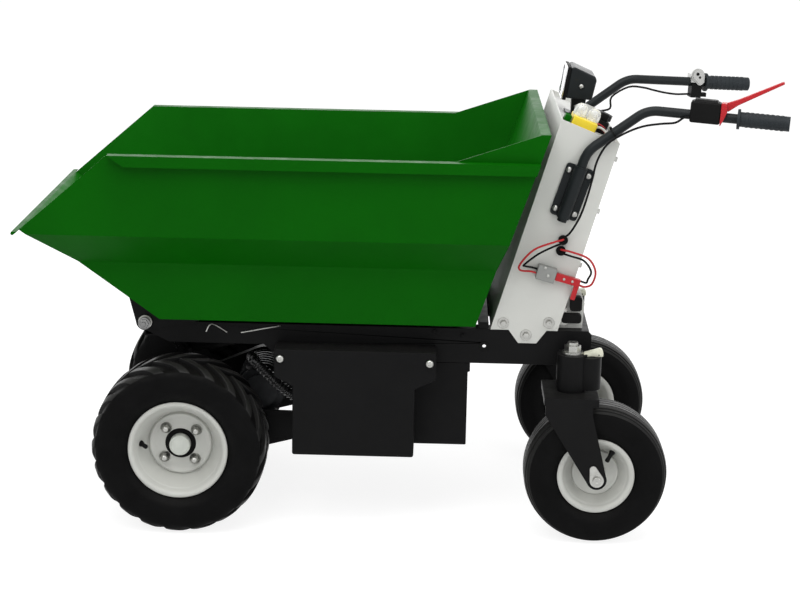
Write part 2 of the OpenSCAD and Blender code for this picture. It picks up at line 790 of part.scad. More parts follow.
module caster_axle(side) {
    out = fork_half + fork_plate;
    color(zinc) on_side(side) translate([caster_axle_x, caster_y, caster_r]) rotate([90, 0, 0]) {
        translate([0, 0, -out - 10]) cylinder(h = 2 * out + 20, r = caster_axle_r);
        for (z = [-out - 4 - seat_gap, out + seat_gap]) translate([0, 0, z]) linear_extrude(4)
            teardrop(16, 8, [9, 27]);
    }
}

// A tyre as one closed mesh: rings lie across it and columns run round it, four to a pitch.
// A ring is its distance from the middle, the radii between and on the lugs, the share of the
// lugs' own spacing round it, and its turn in degrees.
lug_edges = [0, 0.07, 0.43, 0.5];
lug_count = 20;
lug_slant = -24;
caster_pitches = 9;
function on_lug(k) = k % 4 == 1 || k % 4 == 2;
function tyre_angle(ring, k, pitches) =
    (floor(k / 4) + (1 - ring[3]) * (k % 4) / 4 + ring[3] * lug_edges[k % 4]) * 360 / pitches + ring[4];
function tyre_point(ring, k, pitches) =
    let (r = on_lug(k) ? ring[2] : ring[1], a = tyre_angle(ring, k, pitches))
    [r * cos(a), r * sin(a), ring[0]];
module tyre_mesh(rings, pitches) {
    columns = 4 * pitches;
    last = len(rings);
    points = [for (ring = rings, k = [0:columns - 1]) tyre_point(ring, k, pitches)];
    function at(i, k) = (i % last) * columns + k % columns;
    polyhedron(points, [for (i = [0:last - 1], k = [0:columns - 1])
        each [[at(i, k), at(i, k + 1), at(i + 1, k + 1)], [at(i, k), at(i + 1, k + 1), at(i + 1, k)]]],
        convexity = 8);
}

// Half a tyre's rings from the rim's seat to the middle, out of shares of its width and height
function half_rings(r, w, seat_r, flange_r, bead, shares, slant) = concat(
    [for (edge = [seat_r, flange_r + flange_clear]) [bead, edge, edge, 0, -slant]],
    [for (h = shares) [h[0] * w / 2, flange_r + h[1] * (r - flange_r), flange_r + h[2] * (r - flange_r), h[3],
        -slant * h[4]]]);
function other_half(rings, stagger) = [for (i = [len(rings) - 1:-1:0]) let (g = rings[i])
    [-g[0], g[1], g[2], g[3], g[4] + stagger]];

module wheel_place(side, x, y, r) {
    on_side(side) translate([x, y, r]) rotate([-90, 0, 0]) children();
}

rim_lip = 4;
bead_seat = 12;
flange_clear = 1.3;
front_shares = [[1, 0.394, 0.394, 0, 1], [0.98, 0.66, 0.66, 0, 1], [0.93, 0.79, 0.80, 1, 0.96],
    [0.84, 0.855, 0.90, 1, 0.87], [0.58, 0.885, 0.983, 1, 0.6], [0.06, 0.905, 1, 1, 0.06]];
module front_tyre(side) {
    half = half_rings(front_r, front_tyre_w, front_rim_d / 2 - bead_seat, front_rim_d / 2,
        front_rim_w / 2 - rim_lip - seat_gap, front_shares, lug_slant);
    lug_down = 90 - lug_edges[1] * 360 / lug_count - half[len(half) - 1][4];
    color(rubber) wheel_place(side, axle_x, front_y, front_r) rotate(lug_down)
        tyre_mesh(concat(half, other_half(half, 180 / lug_count)), lug_count);
}

module rim_section(flange_r, w, well_r, disc_in, disc_out, bore_r) {
    o = w / 2;
    s = flange_r - 12.5;
    polygon([[flange_r, o - rim_lip], [flange_r, o], [s - 2, o], [s - 5.5, o - 4.5], [well_r - 5, disc_out],
        [bore_r, disc_out], [bore_r, disc_in], [well_r - 8, disc_in], [well_r - 5, disc_in - 4],
        [s - 5.5, 4.5 - o], [s - 2, -o], [flange_r, -o], [flange_r, rim_lip - o], [s, rim_lip - o],
        [s - 1.5, rim_lip - o + 2], [well_r, disc_in - 4], [well_r, disc_out - 2], [s - 1.5, o - rim_lip - 2],
        [s, o - rim_lip]]);
}

module front_rim(side) {
    color(white) wheel_place(side, axle_x, front_y, front_r) {
        rotate_extrude($fn = 96) rim_section(front_rim_d / 2, front_rim_w, 78, 7, 12, 20);
        translate([0, 0, -5]) cylinder(h = 12.5, r = nut_circle_d / 2 + 12);
        translate([0, 0, axle_tube_end + 3 - front_y]) cylinder(h = front_y - axle_tube_end - 5, r = 32);
        translate([0, 0, axle_tube_end - 80 - front_y]) cylinder(h = 100, r = half_shaft_r);
        translate([0, 0, 7]) cylinder(h = 24, r = 23);
    }
}

caster_shares = [[1, 0.46, 0.46, 0, 0], [0.9, 0.84, 0.84, 0, 0], [0.56, 1, 1, 0, 0]];
module caster_tyre(side) {
    half = half_rings(caster_r, caster_tyre_w, caster_rim_d / 2 - bead_seat, caster_rim_d / 2,
        caster_rim_w / 2 - rim_lip - seat_gap, caster_shares, 0);
    color(rubber) wheel_place(side, caster_axle_x, caster_y, caster_r)
        tyre_mesh(concat(half, other_half(half, 0)), caster_pitches);
}

module caster_rim(side) {
    hub = fork_half - 0.5;
    color(white) wheel_place(side, caster_axle_x, caster_y, caster_r) difference() {
        union() {
            rotate_extrude($fn = 96) rim_section(caster_rim_d / 2, caster_rim_w, 58, 12, 17, 20);
            translate([0, 0, -hub]) cylinder(h = 2 * hub, r = 24);
        }
        translate([0, 0, -hub - 1]) cylinder(h = 2 * hub + 2, r = caster_axle_r + shaft_play);
    }
}

// Skip: floor with chute and lip, two folded sides, back, and the frame underneath
in_low = half_low - skip_sheet;
in_top = half_top - skip_sheet;
fold_low_z = floor_z + fold_low;
fold_high_z = floor_z + fold_high;
module skip_inside() {
    translate([-overall_length, 0, 0]) rotate([90, 0, 90]) linear_extrude(2 * overall_length)
        polygon([[-in_low, floor_z - 1], [in_low, floor_z - 1], [in_low, fold_low_z + fold_shift],
            [in_top, fold_high_z + fold_shift], [in_top, back_z + 1], [-in_top, back_z + 1],
            [-in_top, fold_high_z + fold_shift], [-in_low, fold_low_z + fold_shift]]);
}

module skip_floor() {
    t = skip_sheet;
    tip = [lip_x - t * sin(chute_angle), lip_z + t * cos(chute_angle)];
    color(green) {
        intersection() {
            skip_inside();
            xz_plate([[floor_rear_x + back_inset, floor_z], [floor_front_x, floor_z], [lip_x, lip_z], tip,
                [floor_front_x - t * tan(chute_angle / 2), floor_z + t],
                [floor_rear_x + back_inset, floor_z + t]], -half_top, half_top);
        }
        xz_plate([[lip_x, lip_z], [lip_x + lip_back - 4, lip_z - 7], [lip_x + lip_back, lip_z - 3],
            [lip_x + lip_back - 2, lip_z + 2], tip], -lip_bar_w / 2, lip_bar_w / 2);
    }
}

module skip_side(side) {
    gusset_top_x = back_edge_x(back_z) + back_inset;
    color(green) on_side(side) {
        intersection() {
            translate([-overall_length, 0, 0]) rotate([90, 0, 90]) linear_extrude(2 * overall_length)
                polygon([[half_low, floor_z - 1], [half_low, fold_low_z], [half_top, fold_high_z],
                    [half_top, back_z + 1], [in_top, back_z + 1], [in_top, fold_high_z + fold_shift],
                    [in_low, fold_low_z + fold_shift], [in_low, floor_z - 1]]);
            xz_plate([[floor_front_x, floor_z], [lip_x, lip_z], [rim_front_x, rim_z],
                [gusset_top_x + gusset_run, rim_z], [gusset_top_x, back_z], [back_edge_x(back_z), back_z],
                [floor_rear_x, floor_z]], 0, half_top);
        }
        xz_plate([[rim_front_x, rim_z], [rim_front_x - 4, rim_z - skip_sheet],
            [back_edge_x(rim_z - skip_sheet), rim_z - skip_sheet], [back_edge_x(rim_z), rim_z]],
            half_top - 1, half_top + rim_fold_w);
        xz_plate([[rim_front_x, rim_z], [rim_front_x - 37, rim_z - rim_fold_h],
            [back_edge_x(rim_z - rim_fold_h), rim_z - rim_fold_h], [back_edge_x(rim_z), rim_z]],
            half_top + rim_fold_w - skip_sheet, half_top + rim_fold_w);
    }
}

module skip_back() {
    t = skip_sheet;
    z0 = floor_z + t;
    color(green) intersection() {
        skip_inside();
        xz_plate([[back_edge_x(z0) + back_inset, z0], [back_edge_x(back_z - t) + back_inset, back_z - t],
            [back_edge_x(back_z - t), back_z - t], [back_edge_x(back_z), back_z],
            [back_edge_x(back_z) + back_inset + t, back_z], [back_edge_x(z0) + back_inset + t, z0]],
            -half_top, half_top);
    }
}

// Frame under the skip: two channels, the pivot lugs and the ears of the ram
module skip_underframe() {
    y0 = rail_y + lug_gap;
    rear = floor_rear_x + 37;
    ear_y = ram_eye_half - 3;
    color(black) both_sides() {
        difference() {
            block([rear, 110, floor_z - 45], [axle_x + 20, 150, floor_z]);
            block([rear - 1, 114, floor_z - 46], [axle_x + 21, 146, floor_z - 4]);
        }
        difference() {
            union() {
                xz_plate([[axle_x + 125, chute_z(axle_x + 125)], [floor_front_x, floor_z],
                    [behind(40), floor_z], [behind(40), floor_z - 12], [pivot_x - 14, pivot_z - 17],
                    [pivot_x + 20, pivot_z - 9]], y0, y0 + lug_plate);
                y_bar(pivot_x, pivot_z, 22, y0, y0 + lug_plate);
            }
            y_bar(pivot_x, pivot_z, pivot_pin_d / 2 + 0.05, y0 - 5, y0 + lug_plate + 5);
        }
        xz_plate([[ram_eye_x + 45, floor_z], [ram_eye_x - 45, floor_z], [ram_eye_x - 18, ram_eye_z - 10],
            [ram_eye_x + 18, ram_eye_z - 10]], ear_y, ear_y + 8);
    }
}

module skip_pivot_pins() {
    lug_out = rail_y + lug_gap + lug_plate;
    color(zinc) both_sides() {
        y_bar(pivot_x, pivot_z, pivot_pin_d / 2, rail_y - rail_plate - 10, lug_out + 20);
        y_bar(pivot_x, pivot_z, 16, lug_out + seat_gap, lug_out + 6);
        y_bar(pivot_x, pivot_z, 14, lug_out + 5, lug_out + 20);
    }
}

// Tipping ram under the skip, drawn in
module ram_place() {
    translate([ram_base_x, 0, ram_base_z]) rotate([0, ram_angle - 90, 0]) children();
}

module ram_barrel() {
    color(black) difference() {
        union() {
            y_bar(ram_base_x, ram_base_z, 18, -ram_eye_half, ram_eye_half);
            ram_place() cylinder(h = 40, r = 15);
            ram_place() translate([0, 0, 22]) cylinder(h = ram_length - 68, r = 24);
        }
        y_bar(ram_base_x, ram_base_z, ram_pin_r + shaft_play, -2 * ram_eye_half, 2 * ram_eye_half);
        ram_place() translate([0, 0, 45]) cylinder(h = ram_length, r = ram_rod_r + shaft_play);
    }
}

module ram_rod() {
    color(zinc) {
        ram_place() translate([0, 0, 60]) cylinder(h = ram_length - 66, r = ram_rod_r);
        y_bar(ram_eye_x, ram_eye_z, 18, -ram_eye_half + 6, ram_eye_half - 6);
        y_bar(ram_eye_x, ram_eye_z, ram_pin_r, -ram_eye_half + 4, ram_eye_half - 4);
    }
}

rail(LEFT);  // rail_left
rail(RIGHT);  // rail_right
front_crossmember();
rear_crossmember();
axle_housing();
drive_motor();
battery_case();
battery_cover(LEFT);  // battery_cover_left
battery_cover(RIGHT);  // battery_cover_right
rest_pads();
rest_bar();
console_shell();
console_rear_cover();
console_top();
charge_bracket();
charge_socket();
handle_clamps();
handlebar(LEFT);  // handlebar_left
handlebar(RIGHT);  // handlebar_right
grips();
run_lever_housing();
run_lever();
speed_selector();
tip_switch();
lamp_housing();
lamp_lens();
lamp_bracket();
switch_box();
switch_caps();
stop_button();
grommets();
power_connector();
connector_handle();
red_leads();
black_leads();
control_cables();
caster_housings();
caster_locks();
skip_floor();
skip_side(LEFT);  // skip_side_left
skip_side(RIGHT);  // skip_side_right
skip_back();
skip_underframe();
skip_pivot_pins();
ram_barrel();
ram_rod();
front_tyre(LEFT);  // front_tyre_left
front_tyre(RIGHT);  // front_tyre_right
front_rim(LEFT);  // front_rim_left
front_rim(RIGHT);  // front_rim_right
caster_fork(LEFT);  // caster_fork_left
caster_fork(RIGHT);  // caster_fork_right
caster_axle(LEFT);  // caster_axle_left
caster_axle(RIGHT);  // caster_axle_right
caster_tyre(LEFT);  // caster_tyre_left
caster_tyre(RIGHT);  // caster_tyre_right
caster_rim(LEFT);  // caster_rim_left
caster_rim(RIGHT);  // caster_rim_right
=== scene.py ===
"""Looks of a walk-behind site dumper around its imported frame. Metres, +X forward, +Y left, +Z up."""
import json
import math

import bmesh
import bpy
from mathutils import Matrix, Vector


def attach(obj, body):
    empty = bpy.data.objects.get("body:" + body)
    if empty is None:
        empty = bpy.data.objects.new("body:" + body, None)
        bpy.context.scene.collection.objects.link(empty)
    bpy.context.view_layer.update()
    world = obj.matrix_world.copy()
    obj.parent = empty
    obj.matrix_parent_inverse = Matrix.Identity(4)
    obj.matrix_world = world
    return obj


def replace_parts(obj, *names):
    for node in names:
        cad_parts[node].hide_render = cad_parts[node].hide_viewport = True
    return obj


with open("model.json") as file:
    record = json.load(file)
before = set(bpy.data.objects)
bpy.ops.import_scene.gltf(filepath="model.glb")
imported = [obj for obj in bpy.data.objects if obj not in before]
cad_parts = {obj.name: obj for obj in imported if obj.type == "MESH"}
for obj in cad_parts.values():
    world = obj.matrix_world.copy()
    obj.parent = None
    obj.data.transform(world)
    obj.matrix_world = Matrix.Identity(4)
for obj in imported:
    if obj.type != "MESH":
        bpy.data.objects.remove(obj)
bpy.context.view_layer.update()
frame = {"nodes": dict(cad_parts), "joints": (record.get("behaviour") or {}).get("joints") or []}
nodes = frame["nodes"]
SIDES = {"left": 1, "right": -1}


# Materials

def node_material(name):
    material = bpy.data.materials.new(name)
    material.use_nodes = True
    tree = material.node_tree
    return material, tree, tree.nodes["Principled BSDF"]


def noise(tree, scale, detail, roughness=0.55):
    coords = tree.nodes.new("ShaderNodeTexCoord")
    texture = tree.nodes.new("ShaderNodeTexNoise")
    texture.inputs["Scale"].default_value = scale
    texture.inputs["Detail"].default_value = detail
    texture.inputs["Roughness"].default_value = roughness
    tree.links.new(coords.outputs["Object"], texture.inputs["Vector"])
    return texture.outputs["Fac"]


def remap(tree, value, low, high, start=0.3, end=0.7):
    node = tree.nodes.new("ShaderNodeMapRange")
    node.inputs["From Min"].default_value = start
    node.inputs["From Max"].default_value = end
    node.inputs["To Min"].default_value = low
    node.inputs["To Max"].default_value = high
    tree.links.new(value, node.inputs["Value"])
    return node.outputs["Result"]


def mix_colour(tree, factor, first, second):
    node = tree.nodes.new("ShaderNodeMix")
    node.data_type = "RGBA"
    for socket, value in ((node.inputs[6], first), (node.inputs[7], second)):
        if isinstance(value, tuple):
            socket.default_value = (*value, 1.0)
        else:
            tree.links.new(value, socket)
    tree.links.new(factor, node.inputs[0])
    return node.outputs[2]


def bump(tree, shader, height, strength, distance):
    node = tree.nodes.new("ShaderNodeBump")
    node.inputs["Strength"].default_value = strength
    node.inputs["Distance"].default_value = distance
    tree.links.new(height, node.inputs["Height"])
    tree.links.new(node.outputs["Normal"], shader.inputs["Normal"])


def dust_mask(tree, amount):
    """Upward faces gather a thin, patchy film."""
    normal = tree.nodes.new("ShaderNodeNewGeometry")
    split = tree.nodes.new("ShaderNodeSeparateXYZ")
    tree.links.new(normal.outputs["Normal"], split.inputs["Vector"])
    up = remap(tree, split.outputs["Z"], 0.0, amount, 0.3, 1.0)
    patchy = remap(tree, noise(tree, 14, 6), 0.2, 1.0)
    product = tree.nodes.new("ShaderNodeMath")
    product.operation = "MULTIPLY"
    tree.links.new(up, product.inputs[0])
    tree.links.new(patchy, product.inputs[1])
    return product.outputs[0]


def shade(colour, factor):
    return tuple(min(1.0, c * factor) for c in colour)


DUST = (0.42, 0.38, 0.31)


def finish(name, colour, rough, grain, metal=0.0, specular=0.5, spread=0.12, patch=9.0,
           grain_depth=0.00012, grain_strength=0.25, dust=0.0):
    """A finish whose tone, gloss and grain vary over the surface."""
    material, tree, shader = node_material(name)
    tone = remap(tree, noise(tree, patch, 5, 0.6), 0.0, 1.0)
    base = mix_colour(tree, tone, shade(colour, 1 - spread), shade(colour, 1 + spread))
    if dust:
        base = mix_colour(tree, dust_mask(tree, dust), base, DUST)
    tree.links.new(base, shader.inputs["Base Color"])
    gloss = remap(tree, noise(tree, patch * 4.3, 6, 0.65), rough * 0.8, min(1.0, rough * 1.2))
    tree.links.new(gloss, shader.inputs["Roughness"])
    shader.inputs["Metallic"].default_value = metal
    shader.inputs["Specular IOR Level"].default_value = specular
    bump(tree, shader, noise(tree, grain, 3, 0.5), grain_strength, grain_depth)
    return material


GREEN = finish("green_paint", (0.0018, 0.079, 0.0010), 0.40, specular=0.04, spread=0.08, patch=5, grain=150,
               grain_depth=0.0002, grain_strength=0.12)
# The skip's inside has the same green paint as its outside; this lighter copy is painted light on the inside
# walls, which get less light.
INNER_GREEN_PAINTED_LIGHT = finish("inner_green_paint", (0.0052, 0.117, 0.0042), 0.42, specular=0.04, patch=5, grain=150,
                     grain_depth=0.0002, grain_strength=0.12)
BLACK = finish("black_paint", (0.0074, 0.0074, 0.0076), 0.40, specular=0.05, spread=0.1, grain=260,
               grain_depth=0.0002, grain_strength=0.2, dust=0.01)
BLACK_SATIN = finish("black_powder_coat", (0.0070, 0.0070, 0.0072), 0.5, specular=0.05, spread=0.07,
                     grain=900, grain_depth=0.0002, grain_strength=0.35, dust=0.01)
WHITE = finish("white_paint", (0.56, 0.565, 0.535), 0.42, specular=0.35, spread=0.03, patch=4, grain=700,
               grain_depth=0.00015, grain_strength=0.2)
GREY = finish("grey_paint", (0.50, 0.50, 0.48), 0.45, spread=0.05, grain=700)
RIM = finish("rim_paint", (0.48, 0.485, 0.455), 0.38, specular=0.4, spread=0.05, patch=8, grain=500,
             grain_depth=0.00015, dust=0.06)
TYRE = finish("tyre_rubber", (0.0034, 0.0034, 0.0035), 0.50, specular=0.045, spread=0.25, patch=22, grain=650,
              grain_depth=0.0003, grain_strength=0.4, dust=0.01)
# The tread rubber is lighter than the tyre's as a painted highlight on the lug tops and the caster crown; its
# dust is real.
TREAD_PAINTED_HIGHLIGHT = finish("tread_rubber", (0.0120, 0.0120, 0.0117), 0.42, specular=0.12, spread=0.3, patch=30, grain=650,
               grain_depth=0.0003, grain_strength=0.3, dust=0.015)
PLASTIC = finish("black_plastic", (0.006, 0.006, 0.006), 0.5, specular=0.07, spread=0.15, grain=1300,
                 grain_depth=0.0002, grain_strength=0.4)
CONDUIT_BLACK = finish("conduit_plastic", (0.012, 0.012, 0.0125), 0.28, specular=0.55, spread=0.15,
                       grain=900, grain_depth=0.0001, grain_strength=0.15)
RUBBER = finish("black_rubber", (0.006, 0.006, 0.006), 0.6, specular=0.07, spread=0.2, grain=1100,
                grain_strength=0.4)
HANDLE = finish("handle_paint", (0.012, 0.0145, 0.0155), 0.34, specular=0.12, spread=0.15, grain=500,
                grain_depth=0.0001, grain_strength=0.2)
GRIP = finish("grip_rubber", (0.021, 0.025, 0.028), 0.55, specular=0.12, spread=0.15, grain=1100,
              grain_strength=0.4)
ZINC = finish("zinc_steel", (0.40, 0.40, 0.38), 0.3, metal=1.0, spread=0.15, patch=60, grain=900)
STEEL_DARK = finish("dark_steel", (0.20, 0.20, 0.20), 0.36, metal=1.0, spread=0.25, patch=40, grain=700)
CHROME = finish("chrome_rod", (0.75, 0.75, 0.76), 0.09, metal=1.0, spread=0.03, patch=30, grain=300,
                grain_strength=0.03)
MOTOR = finish("motor_casing", (0.030, 0.031, 0.033), 0.42, metal=0.5, specular=0.2, spread=0.25, patch=40,
               grain=500, grain_depth=0.0004, grain_strength=0.5)
RED = finish("red_plastic", (0.38, 0.009, 0.014), 0.36, specular=0.3, spread=0.08, grain=600,
             grain_strength=0.12)
RED_SHEATH = finish("red_sheath", (0.40, 0.009, 0.012), 0.42, specular=0.3, spread=0.1, grain=900,
                    grain_strength=0.15)
YELLOW = finish("yellow_plastic", (0.76, 0.58, 0.035), 0.36, specular=0.3, spread=0.06, grain=600,
                grain_strength=0.12)
CREAM = finish("cream_paint", (0.62, 0.62, 0.50), 0.4, spread=0.1, patch=60, grain=500)
GREY_PLASTIC = finish("grey_plastic", (0.23, 0.235, 0.225), 0.48, specular=0.3, spread=0.06, grain=800)
SILVER = finish("silver_plastic", (0.42, 0.42, 0.41), 0.32, metal=0.6, spread=0.05, grain=700,
                grain_strength=0.1)
CAP = finish("hub_cap", (0.48, 0.50, 0.46), 0.4, metal=0.3, spread=0.08, patch=30, grain=500)


def clear_material(name, colour, rough, share=1.0):
    """A see-through finish; share is how much of the light passes through it."""
    material, tree, shader = node_material(name)
    shader.inputs["Base Color"].default_value = (*colour, 1.0)
    shader.inputs["Transmission Weight"].default_value = share
    shader.inputs["IOR"].default_value = 1.46
    gloss = remap(tree, noise(tree, 40, 4), rough * 0.6, rough * 1.4)
    tree.links.new(gloss, shader.inputs["Roughness"])
    bump(tree, shader, noise(tree, 120, 2), 0.05, 0.0002)
    return material


CLEAR = clear_material("clear_glass", (0.95, 0.97, 0.98), 0.05)
MILKY = clear_material("milky_clear", (0.86, 0.87, 0.85), 0.25, 0.45)


# Mesh building

def place(origin, z_axis, x_axis=(1, 0, 0)):
    """A frame at origin whose local Z runs along z_axis."""
    z = Vector(z_axis).normalized()
    x = Vector(x_axis)
    if abs(x.normalized().dot(z)) > 0.98:
        x = Vector((0, 1, 0))
    x = (x - z * x.dot(z)).normalized()
    y = z.cross(x)
    m = Matrix((x, y, z)).transposed().to_4x4()
    m.translation = Vector(origin)
    return m


def lathe(bm, profile, frame_m, steps):
    """Turns (radius, height) points about the local Z axis; a radius of 0 closes the end."""
    rings = []
    for radius, height in profile:
        if radius < 1e-9:
            rings.append([bm.verts.new(frame_m @ Vector((0, 0, height)))])
            continue
        turn = [2 * math.pi * k / steps for k in range(steps)]
        rings.append([bm.verts.new(frame_m @ Vector((radius * math.cos(a), radius * math.sin(a), height)))
                      for a in turn])
    for lower, upper in zip(rings, rings[1:]):
        for k in range(steps):
            n = (k + 1) % steps
            quad = [ring[i % len(ring)] for ring, i in ((lower, k), (lower, n), (upper, n), (upper, k))]
            corners = list(dict.fromkeys(quad))
            if len(corners) > 2:
                bm.faces.new(corners)


def tube(bm, points, radius, sides):
    """A round sweep along points, without twist. The radius may be a list, one per point."""
    pts = [Vector(p) for p in points]
    radii = radius if isinstance(radius, list) else [radius] * len(pts)
    side = None
    rings = []
    for i, p in enumerate(pts):
        along = (pts[min(i + 1, len(pts) - 1)] - pts[max(i - 1, 0)]).normalized()
        if side is None:
            side = along.cross(Vector((0, 1, 0)) if abs(along.y) < 0.9 else Vector((1, 0, 0))).normalized()
        side = (side - along * side.dot(along)).normalized()
        other = along.cross(side)
        rings.append([bm.verts.new(p + radii[i] * (math.cos(a) * side + math.sin(a) * other))
                      for a in (2 * math.pi * k / sides for k in range(sides))])
    for lower, upper in zip(rings, rings[1:]):
        for k in range(sides):
            n = (k + 1) % sides
            bm.faces.new((lower[k], lower[n], upper[n], upper[k]))
    bm.faces.new(list(reversed(rings[0])))
    bm.faces.new(rings[-1])


def curve_points(points, steps):
    """Points of a smooth curve through the given ones."""
    p = [Vector(q) for q in points]
    out = []
    for i in range(len(p) - 1):
        a, b, c, d = p[max(i - 1, 0)], p[i], p[i + 1], p[min(i + 2, len(p) - 1)]
        for k in range(steps):
            t = k / steps
            out.append(0.5 * (2 * b + (c - a) * t + (2 * a - 5 * b + 4 * c - d) * t * t
                              + (3 * b - a - 3 * c + d) * t ** 3))
    return out + [p[-1]]


def soft_box(bm, size, frame_m, edge):
    """A box with rounded edges, centred on the frame."""
    made = bmesh.ops.create_cube(bm, size=1.0)["verts"]
    for v in made:
        v.co = Vector((v.co.x * size[0], v.co.y * size[1], v.co.z * size[2]))
    edges = list({e for v in made for e in v.link_edges})
    done = bmesh.ops.bevel(bm, geom=edges, offset=edge, segments=2, affect="EDGES", profile=0.5)
    fresh = {v for f in done["faces"] for v in f.verts} | {v for v in made if v.is_valid}
    for v in fresh:
        v.co = frame_m @ v.co


def hex_bolt(bm, frame_m, across):
    """A hexagon head on a washer, standing on the frame's XY plane."""
    r = across / math.sqrt(3)
    h = across * 0.62
    w = across * 0.13
    lathe(bm, [(0, 0), (across, 0), (across * 1.02, w * 0.5), (across * 0.98, w), (0, w)], frame_m, 28)
    lathe(bm, [(r, w), (r, w + h * 0.86), (r * 0.9, w + h), (r * 0.3, w + h), (0, w + h * 0.97)], frame_m, 6)


def dome_bolt(bm, frame_m, radius, height):
    """A round head with a socket in it."""
    shares = ((1, 0), (1, 0.25), (0.9, 0.62), (0.66, 0.92), (0.42, 1), (0.399, 0.55), (0, 0.5))
    lathe(bm, [(radius * r, height * h) for r, h in shares], frame_m, 24)


def piece(name, bm, body, material, smooth=35):
    """Makes an object from the mesh, shades it and lets it ride on a body."""
    bmesh.ops.recalc_face_normals(bm, faces=bm.faces)
    mesh = bpy.data.meshes.new(name)
    bm.to_mesh(mesh)
    bm.free()
    obj = bpy.data.objects.new(name, mesh)
    bpy.context.scene.collection.objects.link(obj)
    mesh.materials.append(material)
    for polygon in mesh.polygons:
        polygon.use_smooth = True
    mesh.set_sharp_from_angle(angle=math.radians(smooth))
    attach(obj, body)
    return obj


# Finishes and softened edges of the CAD nodes

def dress(name, material, edge):
    """Gives a CAD node its finish and, where it has sharp edges, a small radius on them."""
    obj = nodes[name]
    obj.data.materials.clear()
    obj.data.materials.append(material)
    if edge:
        weld = obj.modifiers.new("weld", "WELD")
        weld.merge_threshold = 0.00002
        bevel = obj.modifiers.new("edge", "BEVEL")
        bevel.width = edge
        bevel.segments = 2
        bevel.limit_method = "ANGLE"
        bevel.angle_limit = math.radians(28)
        bevel.harden_normals = False
        normals = obj.modifiers.new("normals", "WEIGHTED_NORMAL")
        normals.keep_sharp = False


FINISHES = {
    GREEN: {"skip_floor": 0.0012, "skip_side_left": 0.0012, "skip_side_right": 0.0012, "skip_back": 0.0012},
    BLACK: {"rail_left": 0.0012, "rail_right": 0.0012, "front_crossmember": 0.0012,
            "rear_crossmember": 0.0012, "axle_housing": 0.003, "rest_bar": 0.001, "caster_housings": 0.0015,
            "caster_fork_left": 0.002, "caster_fork_right": 0.002, "skip_underframe": 0.001,
            "ram_barrel": 0.001},
    BLACK_SATIN: {"battery_case": 0.003, "battery_cover_left": 0.004, "battery_cover_right": 0.004},
    HANDLE: {"handle_clamps": 0.0012, "handlebar_left": 0, "handlebar_right": 0, "lamp_housing": 0.004,
             "lamp_bracket": 0.001},
    GRIP: {"grips": 0.0006},
    MOTOR: {"drive_motor": 0.001},
    WHITE: {"console_shell": 0.001, "console_rear_cover": 0.001, "charge_bracket": 0.001},
    GREY: {"console_top": 0.001},
    PLASTIC: {"run_lever_housing": 0.004, "tip_switch": 0.003, "stop_button": 0.003, "charge_socket": 0.002},
    RUBBER: {"rest_pads": 0.002, "grommets": 0.002, "black_leads": 0, "control_cables": 0},
    RED: {"run_lever": 0.0015, "connector_handle": 0.0025},
    RED_SHEATH: {"red_leads": 0},
    SILVER: {"speed_selector": 0.0025},
    CLEAR: {"lamp_lens": 0.001},
    MILKY: {"switch_caps": 0.0015},
    YELLOW: {"switch_box": 0.003},
    GREY_PLASTIC: {"power_connector": 0.002},
    CREAM: {"caster_locks": 0.001},
    ZINC: {"skip_pivot_pins": 0.0015, "caster_axle_left": 0.0012, "caster_axle_right": 0.0012},
    CHROME: {"ram_rod": 0.001},
    TYRE: {"front_tyre_left": 0.0015, "front_tyre_right": 0.0015, "caster_tyre_left": 0.001,
           "caster_tyre_right": 0.001},
    RIM: {"front_rim_left": 0.0015, "front_rim_right": 0.0015, "caster_rim_left": 0.0015,
          "caster_rim_right": 0.0015},
}
for material, members in FINISHES.items():
    for name, edge in members.items():
        dress(name, material, edge)


# Places used by the fittings, from the frame's joints and nodes where it has them

X, Y, Z = range(3)
joint_at = {joint["name"]: joint.get("pos_m") for joint in frame["joints"]}


def reach(name, axis):
    """How far a CAD node reaches along an axis."""
    obj = nodes[name]
    return max((obj.matrix_world @ vertex.co)[axis] for vertex in obj.data.vertices)


AXLE_X, WHEEL_Y, WHEEL_R = joint_at["front_wheel_left_spin"]
CASTER_X, CASTER_Y, CASTER_R = joint_at["caster_left_spin"]
PIVOT_X, _, PIVOT_Z = joint_at["skip_tip"]
PIVOT_END = reach("skip_pivot_pins", Y)
HOUSING_TOP = reach("caster_housings", Z)
FORK_FACE = reach("caster_axle_left", Y) - CASTER_Y
COVER_FACE = reach("battery_cover_left", Y)
FOOT_FACE = reach("console_shell", Y)
RAIL_FACE = reach("rail_left", Y)
PLUG_FACE = reach("power_connector", Y)
PULL_FACE = reach("connector_handle", Y)
LAMP_FRONT = reach("lamp_lens", X)
LOAD_MIDDLE, LOAD_FACING = Vector((0.2, 0, 0.75)), 0.12
TOP_ORIGIN, TOP_SLOPE = Vector((-0.3601, 0, 0.976)), math.radians(21.73)
CLAMP_MID, CLAMP_TILT, CLAMP_FACE = Vector((-0.389, 0, 0.811)), math.radians(17.6), 0.240
BEND_LOW, BEND_HIGH = Vector((-0.4191, 0.247, 0.906)), Vector((-0.549, 0.250, 1.003))


def on_top(x, y, z):
    """A point on the console's sloping top, x rearward negative, in millimetres."""
    c, n = math.cos(TOP_SLOPE), math.sin(TOP_SLOPE)
    return TOP_ORIGIN + Vector((x * c - z * n, y, x * n + z * c)) / 1000


def on_clamp(across, along, side):
    """A point on the outer face of a handlebar clamp plate, in millimetres."""
    c, n = math.cos(CLAMP_TILT), math.sin(CLAMP_TILT)
    flat = CLAMP_MID + Vector((across * c - along * n, 0, across * n + along * c)) / 1000
    return flat + Vector((0, side * CLAMP_FACE, 0))


def wheel_frame(x, y, r, side):
    """A wheel's frame: Z along the axle outward, X forward."""
    return place((x, side * y, r), (0, side, 0))


